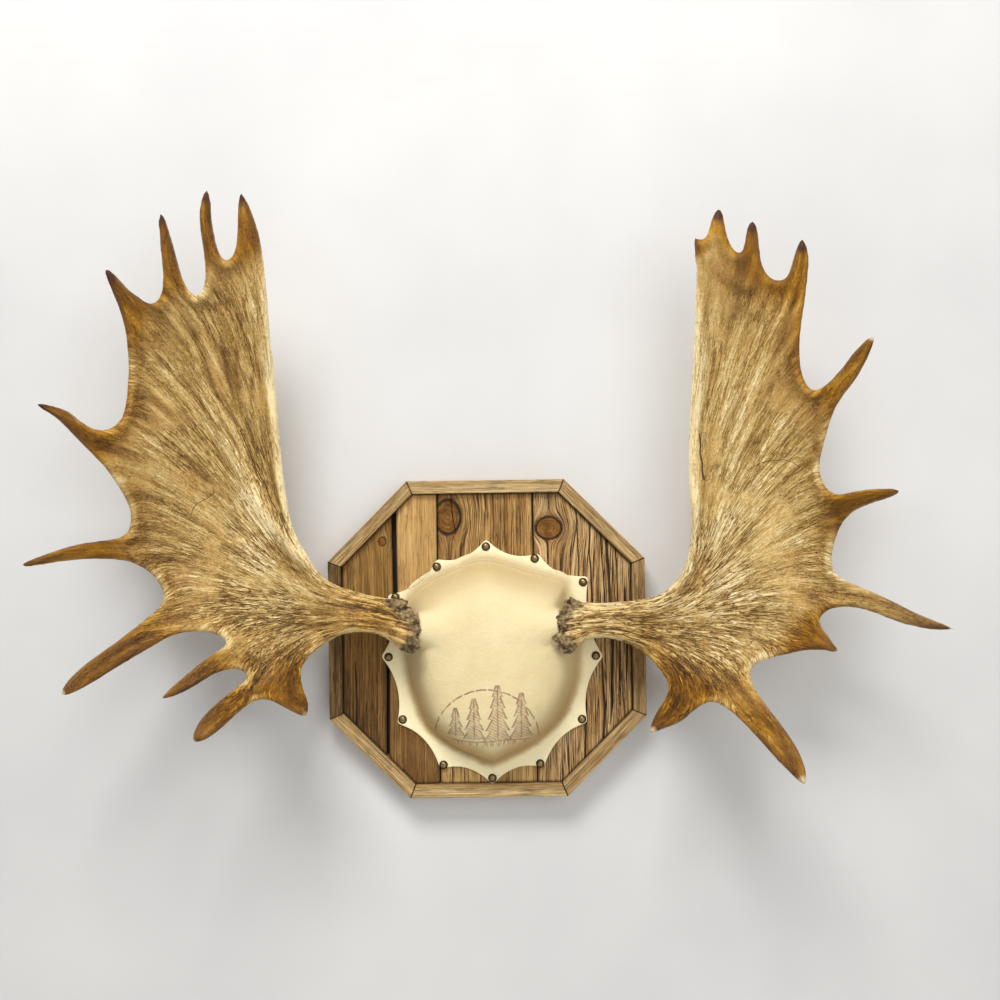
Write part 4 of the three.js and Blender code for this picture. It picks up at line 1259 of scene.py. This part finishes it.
def burnt_drawing(s, x, z, ratio):
    """Share of a plain burnt drawing: firs on a hatched ground, with a dashed arc over them."""
    wobble = (s.noise(s.place, 160.0, 2.0) - 0.5) * 0.0022
    x, z = x + wobble, z + wobble
    ink, hatched = 0.0, 0.0
    for fir in FIRS:
        line, trunk, body = fir_tree(s, x, z, *fir)
        ink = s.larger(ink, s.larger(line, trunk))
        hatched = s.larger(hatched, body)
    comb = s.step(abs(s.fract((x * 0.55 + z) * 230.0) - 0.5), 0.3, 0.14)
    ink = s.larger(ink, (comb * 0.45 + 0.28) * hatched)

    under = s.math("SINE", x * 62.0) * 0.0016 + GROUND_Z - z
    line = s.step(abs(under), 0.0014, 0.0006)
    tufts = s.step(s.noise(s.stretch(s.combine(x, z, 0.0), 1.0, 0.12, 1.0), 620.0, 1.0), 0.54, 0.6)
    below = s.step(under, 0.0, 0.001) * s.step(under, 0.013, 0.003)
    across = s.step(abs(x - GROUND_X), 0.066, 0.052)
    ink = s.larger(ink, s.larger(line, tufts * below) * across)

    reach = s.math("SQRT", s.math("POWER", x - ARC_X, 2.0) + s.math("POWER", z - GROUND_Z, 2.0))
    arc = s.step(abs(reach - ARC_RADIUS), 0.0014, 0.0006) * s.step(under, 0.0, -0.001)
    dashes = s.step(abs(s.fract(x * 60.0) - 0.5), 0.46, 0.4)
    ink = s.larger(ink, arc * dashes)
    faded = s.step(s.noise(s.place, 130.0, 3.0), 0.25, 0.62, 0.45, 1.0)
    return ink * (faded * s.step(ratio, 0.97, 0.93))


def leather_material():
    """Cream leather with a paler flange, a brown tint at the dome's foot and painted shade that deepens
    it towards the lower end.
    """
    s = Shader("cream_leather")
    ratio, turn = s.attribute("ratio"), s.attribute("turn")
    x, _, z = s.split(s.place)
    broad = s.noise(s.place, 9.0, 3.0, 0.55)
    clouds = s.noise(s.place, 34.0, 4.0, 0.6)
    creased = s.noise(s.place, 170.0, 3.0, 0.65)
    grain = s.cells(s.place, 900.0)
    pebble = s.noise(s.place, 1500.0, 2.0, 0.6)
    tone = (broad - 0.5) * 0.7 + (clouds - 0.5) * 0.5
    hide = s.ramp(tone + 0.5, (0.0, "ceb885"), (0.5, "dfcd9d"), (1.0, "eadcb4"))
    at = ratio + (clouds - 0.5) * 0.1
    # A brown tint at the dome's foot all round, with painted shade deepening it and the dome's lower
    # wall towards the bottom.
    foot_brown_and_shade = s.step(at, 0.7, 0.99) * s.step(at, 1.1, 1.0) * s.step(turn, 0.5, -0.6, 0.42, 0.95)
    dome_wall_shade = s.step(at, 0.62, 0.96) * s.step(turn, 0.6, -0.9, 0.1, 0.5) * s.step(at, 1.02, 0.99)
    ink = burnt_drawing(s, x, z, ratio)
    fleck = s.step(s.noise(s.place, 260.0, 3.0, 0.7), 0.62, 0.74)
    colour = s.coats(
        hide, (s.step(ratio, 0.99, 1.06, 0.0, 0.92), "fbedc0"), (foot_brown_and_shade, "a98a56"),
        (dome_wall_shade, "bd9e68"), (ink * 0.85, "8a604a"), (s.attribute("cut") * 0.7, "f2e6c4"),
        (fleck * 0.25, "c9ad78"),
    )
    height = grain * 0.35 + pebble * 0.2 + (clouds * 0.8 + creased * 1.1) + ink * -0.7
    roughness = s.step(clouds, 0.2, 0.8, 0.5, 0.66)
    return s.finish(colour, roughness, s.bump(height, 0.0008), **{"Specular IOR Level": 0.35})


LEATHER_HIDE = leather_material()
make_leather()


# ---- Plaque ----

def octagon_reach(inset):
    """How far the octagon's sides lie from its middle, and where its corners are along them."""
    return PLAQUE_SIZE / 2 - inset, PLAQUE_SIZE / 2 - CORNER_CUT - inset * math.tan(math.pi / 8)


def octagon(inset):
    reach, corner = octagon_reach(inset)
    return np.array([
        (-corner, reach), (corner, reach), (reach, corner), (reach, -corner),
        (corner, -reach), (-corner, -reach), (-reach, -corner), (-reach, corner),
    ])


BOARD_STEP = 1.4
NO_KNOT = 4.0  # stands for no knot near by
# Each board's knots as (x, z, half width, half height), and cracks as (points, width in mm).
KNOTS = [
    [(-150, 142, 5, 6)],
    [],
    [(-55, 176, 18, 24)],
    [(91, 158, 18.2, 15.6)],
]
BOARD_CRACKS = [
    [([(-192, -30), (-190, -90), (-192, -150)], 0.7)],
    [],
    [([(-50, 209), (-48, 180), (-44, 150)], 0.6), ([(20, -190), (24, -160), (20, -140)], 0.6)],
    [
        ([(131, 190), (134, 120), (133, 60), (129, -20)], 0.7),
        ([(152, 190), (150, 120), (154, 40), (158, -60)], 0.9),
        ([(166, 178), (168, 110), (171, 60), (169, -10)], 0.7),
        ([(174, 168), (177, 90), (182, 20), (180, -80), (177, -130)], 1.5),
        ([(187, 155), (190, 60), (192, -20), (190, -100)], 0.9),
        ([(139, -60), (142, -110), (140, -180)], 0.9),
        ([(166, -30), (169, -100), (166, -165)], 1.2),
        ([(201, 70), (203, 0), (201, -70)], 0.9),
    ],
]
BOARD_RELIEF = (0.35, 0.25, 0.45, 0.8)


def bent_round_knots(grain, x, z, middle_x, knots):
    """The grain flowing round the knots with rings inside them, and the share of each knot."""
    knot = np.full_like(x, NO_KNOT)
    for kx, kz, half_width, half_height in knots:
        dx, dz = x - kx, (z - kz) * half_width / half_height
        away = np.sqrt(np.maximum(dx * dx + dz * dz, 1e-6)) / half_width
        flow = np.where(away > 1, (kx - middle_x) + dx * (1 - 1 / away**2), (kx - middle_x))
        toward_bottom = bell(z - kz, 5 * half_height)
        bent = flow * toward_bottom + grain * (1 - toward_bottom)
        rings = 90 + 7 * away * half_width
        grain = np.where(away > 1, bent, rings)
        knot = np.minimum(knot, away)
    return grain, knot


def board_cracks(x, z, number, cracks):
    """How deep the cracks are at each point, and the signed distance to the nearest in its widths."""
    depth = np.zeros_like(x)
    split = np.full_like(x, NO_CRACK)
    for line, width in cracks:
        away, side, along = line_distance(x + 0.8 * noise(z / 25, 1.0 * number, 3.3), z, line)
        taper = np.sqrt(np.clip(np.minimum(along, 1 - along) * 6, 0, 1))
        depth += 2.6 * bell(away, width) * taper
        signed = away * side / np.maximum(width * taper, 0.05)
        closer = (np.abs(signed) < np.abs(split)) & (taper > 0.02)
        split = np.where(closer, signed, split)
    return depth, split


def board_grid(edges):
    """Points over a board's front, how far in from its edges and the trim, and its middle."""
    limit, corner = octagon_reach(TRIM_WIDTH + GAP)
    left, right = (on_boards(edge)[::-1] for edge in edges)
    heights = np.linspace(-limit, limit, int(2 * limit / BOARD_STEP))
    low_x = np.maximum(np.interp(heights, left[:, 1], left[:, 0]), -limit)[:, None]
    high_x = np.minimum(np.interp(heights, right[:, 1], right[:, 0]), limit)[:, None]
    columns = int((high_x - low_x).max() / BOARD_STEP)
    x = low_x + (high_x - low_x) * np.linspace(0, 1, columns)
    z = heights[:, None] / limit * np.minimum(limit, limit + corner - np.abs(x))
    from_edge = np.minimum(x - low_x, high_x - x)
    to_trim = np.minimum(
        limit - np.maximum(np.abs(x), np.abs(z)),
        (limit + corner - np.abs(x) - np.abs(z)) / math.sqrt(2),
    )
    return x, z, from_edge, to_trim, (left[:, 0].mean() + right[:, 0].mean()) / 2


def with_back(front):
    """Closes a grid of points with plain sides and a flat back: points, faces and the border."""
    rows, columns = front.shape[:2]
    index = np.arange(rows * columns).reshape(rows, columns)
    quads = np.stack([index[:-1, :-1], index[:-1, 1:], index[1:, 1:], index[1:, :-1]], -1)
    border = np.concatenate([index[0, :-1], index[:-1, -1], index[-1, :0:-1], index[:0:-1, 0]])
    points = front.reshape(-1, 3)
    back = points[border].copy()
    back[:, 1] = -(BACKING_THICKNESS + GAP)
    base = len(points) + np.arange(len(border))
    walls = np.stack([border, base, np.roll(base, -1), np.roll(border, -1)], 1)
    faces = quads.reshape(-1, 4).tolist() + walls.tolist() + [base[::-1].tolist()]
    return np.vstack([points, back]), faces, border


def make_board(number, edges, knots, cracks, relief):
    """One board, with its grain, cracks and worn edges in the mesh."""
    x, z, from_edge, to_trim, middle_x = board_grid(edges)
    grain = x - middle_x + 1.8 * noise(x / 60, z / 160, number) + 0.5 * noise(x / 14, z / 90, number)
    grain, knot = bent_round_knots(grain, x, z, middle_x, knots)
    depth, split = board_cracks(x, z, number, cracks)
    out = BOARD_FACE - 0.35 - depth + relief * (
        0.55 * noise(grain / 2.6, z / 120, 4 + number)
        + 0.3 * noise(grain / 1.2, z / 60, 8 + number)
        + 0.5 * noise(x / 30, z / 70, 12 + number)
    )
    worn = 1.0 + 0.5 * noise(z / 22, number, 1.7)
    out = out - 1.7 * bell(from_edge, 1.5 * worn)
    points, faces, border = with_back(np.stack([x, -out, z], -1))
    rows, columns = x.shape
    tail = np.zeros(len(border))
    add_piece(
        f"board_{number}_plank", points, faces, BOARD_WOOD[number - 1], "board",
        (f"board_{number}",), flat_from=(rows - 1) * (columns - 1),
        grain=np.append(grain, grain.ravel()[border]), knot=np.append(knot, tail + NO_KNOT),
        # the sides get near_edge -9, which the wood paints near black as shade in the joints
        split=np.append(split, tail + NO_CRACK), near_edge=np.append(from_edge, tail - 9),
        to_trim=np.append(to_trim, tail),
    )


def board_marks(s, colour, height, fibre):
    """Knots, cracks, dark edges and painted shade in the open joints and beside the trim, laid over a
    board's colour and height.
    """
    knot, edge = s.attribute("knot"), s.attribute("near_edge")
    wavy = knot + (s.noise(s.place, 240.0, 2.0) - 0.5) * 0.22
    flame = s.noise(s.place, 95.0, 3.0) * 0.9 + fibre * 0.35
    warm = s.ramp(flame, (0.35, "6a3c14"), (0.6, "a06c2c"), (0.85, "c08c44"))
    rings = s.step(abs(s.fract(wavy * 3.4) - 0.5), 0.16, 0.03)
    heart = s.mix(rings * 0.55, warm, "4a280e")
    outline = s.step(abs(wavy - 1.02), 0.17, 0.04)
    split = s.step(abs(s.attribute("split")), 1.5, 0.7)
    colour = s.coats(
        colour, (s.step(knot, 1.7, 1.0) * 0.35, "6b4520"), (s.step(wavy, 1.08, 0.96), heart),
        (outline * 0.85, "1f1007"), (split * 0.9, "120b06"),
        # painted shade: the plank's sides near black in the open joints, and the front darkened in the
        # corner beside the proud trim
        (s.step(edge, 3.0, 0.4) * 0.5, "2b1d12"), (s.step(edge, 0.0, -2.5) * 0.92, "0a0604"),
        (s.step(s.attribute("to_trim"), 4.5, 0.3) * 0.75, "1a110a"),
    )
    return colour, height + split * -1.5 + outline * -0.8


def wood_material(name, tones, weathered, fineness, ringed, contrast=1.0, toward_bottom=0.0, board=True):
    """Old wood. tones are colours from the darkest line to the lightest field."""
    s = Shader(name)
    _, y, z = s.split(s.place)
    grain = s.attribute("grain")
    along = z * 1000.0 if board else s.attribute("along")

    def layer(across, length, depth, detail, rough):
        at = s.combine(grain * (across * fineness), along / length, y * depth)
        return s.noise(at, 1.0, detail, rough)

    bands = layer(0.16, 260, 60.0, 3.0, 0.55)
    lines = layer(0.5, 130, 90.0, 4.0, 0.62)
    dark = layer(0.3, 210, 70.0, 3.0, 0.5)
    fibre = layer(1.6, 22, 200.0, 3.0, 0.65)
    dirt = s.noise(s.place, 22.0, 5.0, 0.65)
    ring = s.step(abs(s.fract(dark * 5.0) - 0.5), 0.16, 0.05) * s.step(bands, 0.3, 0.55)
    check = s.step(abs(layer(0.75, 95, 40.0, 1.0, 0.5) - 0.5), 0.022, 0.006)
    check *= s.step(dirt, 0.42, 0.58)
    value = (bands - 0.5) * 0.9 + (lines - 0.5) * 0.9 + (fibre - 0.5) + (dirt - 0.5) * 0.6
    value = (value + (ring + check) * -ringed) * contrast + 0.62
    # lighter or darker towards the bottom of the board
    if toward_bottom:
        value += s.step(z, 0.05, -0.12) * toward_bottom
    if not board:
        # the strip's painted light and shade by side
        value += s.attribute("tone")
    colour = s.ramp(value, *((k / (len(tones) - 1), tone) for k, tone in enumerate(tones)))
    colour = s.mix(s.step(dirt, 0.52, 0.75) * weathered, colour, "4d3a28")
    height = lines + fibre * 0.7 + (ring + check) * -0.8
    if board:
        colour, height = board_marks(s, colour, height, fibre)
    else:
        joint = s.step(s.attribute("joint") + lines * 0.8, 1.6, 0.6)
        colour = s.mix(joint * 0.7, colour, "2a1d11")
        height += joint * -1.0
    roughness = s.step(fibre, 0.2, 0.8, 0.6, 0.85)
    return s.finish(colour, roughness, s.bump(height, 0.0011), **{"Specular IOR Level": 0.3})


BOARD_WOOD = [
    wood_material("barn_board_1", ("38230c", "755224", "9e763a", "bc965a"), 0.5, 1.0, 0.2, 0.95, -0.36),
    wood_material("barn_board_2", ("6a4820", "a27940", "ca9f60", "dfbd82"), 0.15, 0.7, 0.12, 0.65, -0.5),
    wood_material("barn_board_3", ("301d0a", "7e5628", "b0864a", "d2ac70"), 0.25, 1.0, 0.5, 1.15, 0.3),
    wood_material("barn_board_4", ("281809", "876034", "cca36a", "e6c796"), 0.2, 1.25, 0.6, 1.2),
]
for k, board in enumerate(zip(BOARD_EDGES, KNOTS, BOARD_CRACKS, BOARD_RELIEF)):
    make_board(k + 1, *board)

TRIM_WOOD = wood_material(
    "trim_strip", ("503a1e", "8e6e40", "b89864", "d6ba88"), 0.45, 0.8, 0.16, 1.15, board=False,
)
# How much lighter or darker each strip is: painted light and shade by side, lighter along the top and
# darkest along the left.
TRIM_PAINTED_LIGHT = (0.12, -0.05, -0.15, -0.02, 0.08, 0.0, -0.44, -0.06)
TRIM_SECTIONS = 130
TRIM_ROUNDING = 1.1


def trim_profile():
    """Points round a strip's section, as (share of the width from outside, out)."""
    corner = [(math.sin(t), math.cos(t)) for t in np.linspace(0, math.pi / 2, 5)]
    r = TRIM_ROUNDING
    outer = [(r - r * sx, TRIM_DEPTH - r + r * cx) for sx, cx in corner]
    inner = [(TRIM_WIDTH - r + r * sx, TRIM_DEPTH - r + r * cx) for sx, cx in corner]
    front = [(v, TRIM_DEPTH) for v in np.linspace(r, TRIM_WIDTH - r, 13)[1:-1]]
    down = [(TRIM_WIDTH, out) for out in np.linspace(TRIM_DEPTH - r, 0, 14)[1:]]
    back = [(v, 0.0) for v in np.linspace(TRIM_WIDTH, 0, 4)[1:]]
    up = [(0.0, out) for out in np.linspace(0, TRIM_DEPTH - r, 14)[1:-1]]
    return np.array(outer[::-1] + front + inner + down + back + up)


def trim_wear(v, along, out, seed):
    """A strip's distance out with ripples, dents and chips, and how far its side is worn in."""
    ripple = 0.22 * noise(v / 2.2, along / 90, seed) + 0.3 * noise(v / 9, along / 40, seed + 2)
    front = smooth(TRIM_DEPTH - 6, TRIM_DEPTH - 0.5, out)
    dent = smooth(0.45, 0.8, noise(along / 16, v / 10, seed + 4)) * front
    near_inner = smooth(TRIM_WIDTH - 4, TRIM_WIDTH, v)
    chip = smooth(0.3, 0.75, noise(along / 9, seed + 6, 0.5)) * near_inner * front
    out = out - (0.35 - ripple) * front - 0.7 * dent - 1.1 * chip
    return out, np.where(v < 0.01, 0.25 + ripple * 0.5, 0) * (out > 0.1)


def make_trim(number):
    """One strip along a side of the octagon, mitred to its neighbours."""
    profile = trim_profile()
    outer, inner = octagon(0), octagon(TRIM_WIDTH)
    k, after = number - 1, number % 8
    across = profile[:, 0] / TRIM_WIDTH
    start = outer[k] + (inner[k] - outer[k]) * across[:, None]
    end = outer[after] + (inner[after] - outer[after]) * across[:, None]
    way = (end - start) / np.linalg.norm(end - start, axis=1, keepdims=True)
    start, end = start + way * GAP / 2, end - way * GAP / 2
    share = np.linspace(0, 1, TRIM_SECTIONS)[:, None, None]
    flat = start + (end - start) * share
    along = np.linalg.norm(flat - outer[k], axis=-1)
    v = np.broadcast_to(profile[:, 0], along.shape)
    out = np.broadcast_to(profile[:, 1], along.shape)
    inward = np.array([-way[0, 1], way[0, 0]])
    inward = inward * np.sign(inward @ (inner[k] - outer[k]))
    out, side = trim_wear(v, along, out, 5.0 * number)
    flat = flat + inward * side[..., None]
    points = np.stack([flat[..., 0], -np.maximum(out, 0), flat[..., 1]], -1).reshape(-1, 3)
    count = len(profile)
    index = np.arange(TRIM_SECTIONS * count).reshape(TRIM_SECTIONS, count)
    turned = np.roll(index, -1, 1)
    quads = np.stack([index[:-1], turned[:-1], turned[1:], index[1:]], -1).reshape(-1, 4)
    faces = quads.tolist() + [index[0][::-1].tolist(), index[-1].tolist()]
    joint = np.minimum(np.linalg.norm(flat - start, axis=-1), np.linalg.norm(flat - end, axis=-1))
    around = np.where(v > 0.01, v + (TRIM_DEPTH - out) * (v > TRIM_WIDTH - 0.01), out - TRIM_DEPTH)
    add_piece(
        f"trim_{number}_strip", points, faces, TRIM_WOOD, "trim", (f"trim_{number}",),
        flat_from=len(quads), grain=(around + 37 * number).ravel(), along=along.ravel(),
        joint=joint.ravel(), tone=np.full(len(points), TRIM_PAINTED_LIGHT[k]),
    )


for k in range(8):
    make_trim(k + 1)


# ---- Tacks ----

def tack_material():
    s = Shader("antique_brass")
    ring = s.attribute("ring")
    wear = s.noise(s.place, 700.0, 4.0, 0.65)
    shade = ring + (wear - 0.5) * 0.9
    colour = s.ramp(shade, (0.0, "9a8254"), (0.3, "6e5c3c"), (0.6, "3a2d1c"), (1.0, "1a120a"))
    roughness = s.step(shade, 0.1, 0.8, 0.28, 0.6)
    normal = s.bump(wear, 0.0004)
    return s.finish(colour, roughness, normal, Metallic=0.75)


TACK_BRASS = tack_material()
TACK_SPOKES = 28
# (share of the radius, share of the height, darkness)
TACK_PROFILE = [
    (0.93, -0.10, 1.0), (1.0, 0.02, 0.95), (1.0, 0.16, 0.9), (0.95, 0.28, 0.85), (0.88, 0.32, 0.8),
    (0.82, 0.34, 0.62), (0.76, 0.46, 0.4), (0.66, 0.64, 0.28), (0.5, 0.83, 0.18), (0.28, 0.96, 0.1),
    (0.08, 1.0, 0.1),
]


def make_tack(number, middle):
    """A domed head with a rolled rim, as rings round its middle."""
    base = FLANGE_TOP + GAP
    angles = full_turn(TACK_SPOKES)
    points, dark = [], []
    for share, rise, shade in TACK_PROFILE:
        radius = TACK_RADIUS * share * (1 + 0.012 * np.sin(5 * angles + number))
        out = np.full(TACK_SPOKES, base + TACK_HEIGHT * rise)
        x, z = middle[0] + radius * np.cos(angles), middle[1] + radius * np.sin(angles)
        points.append(np.stack([x, -out, z], 1))
        dark += [shade] * TACK_SPOKES
    points.append(np.array([[middle[0], -base - TACK_HEIGHT, middle[1]]]))
    underside = list(range(TACK_SPOKES))[::-1]
    faces = [underside] + ring_faces(len(TACK_PROFILE), TACK_SPOKES)
    add_piece(
        f"tack_{number}_head", np.concatenate(points), faces, TACK_BRASS, "tack",
        (f"tack_{number}",), ring=dark + [0.0],
    )


for k, middle in enumerate(on_boards(TACKS)):
    make_tack(k + 1, middle)


# ---- Plywood, skull plate and steel ----

def plain_wood():
    s = Shader("plywood_back")
    x, y, z = s.split(s.place)
    bands = s.noise(s.combine(x * 55.0, z * 3.0, y * 20.0), 1.0, 4.0, 0.6)
    pores = s.noise(s.combine(x * 900.0, z * 40.0, y * 300.0), 1.0, 2.0, 0.6)
    value = bands * 0.7 + pores * 0.35
    colour = s.ramp(value, (0.25, "9a7a4e"), (0.5, "bb9a68"), (0.8, "d2b686"))
    front = s.step(y, -0.0110, -0.0118)  # painted near black behind the boards' open joints: painted shade, with some grime
    colour = s.mix(front * 0.95, colour, "120c07")
    return s.finish(colour, s.step(pores, 0.2, 0.8, 0.7, 0.85), s.bump(value, 0.0004))


def zinc():
    s = Shader("zinc_steel")
    brushed = s.noise(s.stretch(s.place, 40, 40, 900), 1.0, 3.0, 0.6)
    blotch = s.noise(s.place, 120.0, 3.0, 0.6)
    colour = s.ramp(brushed * 0.5 + blotch * 0.5, (0.3, "8c8f92"), (0.7, "c4c7c9"))
    return s.finish(colour, s.step(brushed, 0.2, 0.8, 0.3, 0.48), s.bump(brushed, 0.0001), Metallic=1.0)


def skull_bone():
    s = Shader("skull_bone")
    patches = s.noise(s.place, 30.0, 4.0, 0.6)
    pits = s.cells(s.place, 420.0)
    colour = s.ramp(patches, (0.25, "b49a6c"), (0.55, "d8c49a"), (0.8, "e8dab6"))
    return s.finish(colour, s.step(patches, 0.2, 0.8, 0.6, 0.8), s.bump(pits, 0.0005))


kept = {"backing_board": plain_wood(), "skull_plate": skull_bone()}
steel = zinc()
for node in ("hanger_plate", "skull_screw_1", "skull_screw_2", "hanger_screw_1", "hanger_screw_2"):
    kept[node] = steel
for node, material in kept.items():
    for material_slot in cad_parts[node].material_slots:
        material_slot.material = material


# ---- Studio ----

def wall_material():
    """Pale plaster that shows from the front only, so that the piece can be seen from behind."""
    s = Shader("studio_wall")
    cloud = s.noise(s.place, 3.0, 3.0, 0.5)
    colour = s.ramp(cloud, (0.3, "cdcccb"), (0.7, "d6d5d3"))
    surface = s.node("ShaderNodeBsdfDiffuse", {"Color": colour})
    clear = s.node("ShaderNodeBsdfTransparent")
    back = s.node("ShaderNodeNewGeometry").outputs["Backfacing"]
    return s.show(s.node("ShaderNodeMixShader", {0: back, 1: surface.outputs[0], 2: clear.outputs[0]}))


def stage_plane(name, corners, material):
    """A flat part of the room, which isn't part of the object."""
    mesh = bpy.data.meshes.new(name)
    mesh.from_pydata(corners, [], [(0, 1, 2, 3)])
    mesh.materials.append(material)
    plane = bpy.data.objects.new(name, mesh)
    bpy.context.scene.collection.objects.link(plane)
    return plane


# (name, place, aim, size, watts)
LIGHTS = [
    ("key", (-0.55, -2.1, 2.5), (0, 0, 0.15), (1.4, 1.0), 92),
    ("fill", (1.2, -2.8, 0.8), (0, 0, 0.1), (2.0, 2.0), 32),
    ("rear", (1.4, 2.4, 1.5), (0, 0, 0.15), (1.8, 1.4), 30),
    ("rear_fill", (-1.8, 2.2, 0.8), (0, 0, 0.15), (1.8, 1.4), 18),
]
WALL_GAP = 0.0015
WALL_REACH = 4.0
FLOOR_REACH = 6.0
FLOOR_Z = -1.1
LENS, SENSOR = 43.99, 36
CAMERA_PLACE = (0.0213, -1.8, 0.1996)
CAMERA_ROLL = math.radians(-0.785)


def area_light(name, place, aim, size, power):
    """A rectangular light at a place, turned to its aim."""
    light = bpy.data.lights.new(name, "AREA")
    light.shape = "RECTANGLE"
    light.size, light.size_y = size
    light.energy = power
    lamp = bpy.data.objects.new(name, light)
    bpy.context.scene.collection.objects.link(lamp)
    back = np.array(place, float) - np.array(aim, float)
    back /= np.linalg.norm(back)
    right = np.cross((0, 0, 1), back)
    right /= np.linalg.norm(right)
    up = np.cross(back, right)
    lamp.matrix_world = Matrix(
        [[*row, place[k]] for k, row in enumerate(np.stack([right, up, back], 1))] + [[0, 0, 0, 1]]
    )


wall_corners = [
    (side * WALL_REACH, WALL_GAP, height)
    for side, height in ((-1, FLOOR_Z), (1, FLOOR_Z), (1, WALL_REACH), (-1, WALL_REACH))
]
wall_plane = stage_plane("studio_wall", wall_corners, wall_material())
wall_plane.visible_shadow = False


def floor_material():
    s = Shader("studio_floor")
    cloud = s.noise(s.place, 2.0, 3.0, 0.5)
    return s.finish(s.ramp(cloud, (0.3, "d2d3d4"), (0.7, "dadbdb")), 0.8)


floor_corners = [
    (side * FLOOR_REACH, depth * FLOOR_REACH, FLOOR_Z)
    for side, depth in ((-1, -1), (1, -1), (1, 1), (-1, 1))
]
stage_plane("studio_floor", floor_corners, floor_material())
for light in LIGHTS:
    area_light(*light)

scene = bpy.context.scene
world = bpy.data.worlds.new("studio")
world.use_nodes = True
background = world.node_tree.nodes["Background"]
background.inputs["Color"].default_value = rgb("f4f2ee")
background.inputs["Strength"].default_value = 0.36
scene.world = world
scene.view_settings.view_transform = "Standard"

camera = bpy.data.cameras.new("camera")
camera.lens = LENS
camera.sensor_width = SENSOR
camera.clip_start, camera.clip_end = 0.05, 50
camera_object = bpy.data.objects.new("camera", camera)
scene.collection.objects.link(camera_object)
camera_object.matrix_world = Matrix([
    [math.cos(CAMERA_ROLL), -math.sin(CAMERA_ROLL), 0, CAMERA_PLACE[0]],
    [0, 0, -1, CAMERA_PLACE[1]],
    [math.sin(CAMERA_ROLL), math.cos(CAMERA_ROLL), 0, CAMERA_PLACE[2]],
    [0, 0, 0, 1],
])
scene.camera = camera_object
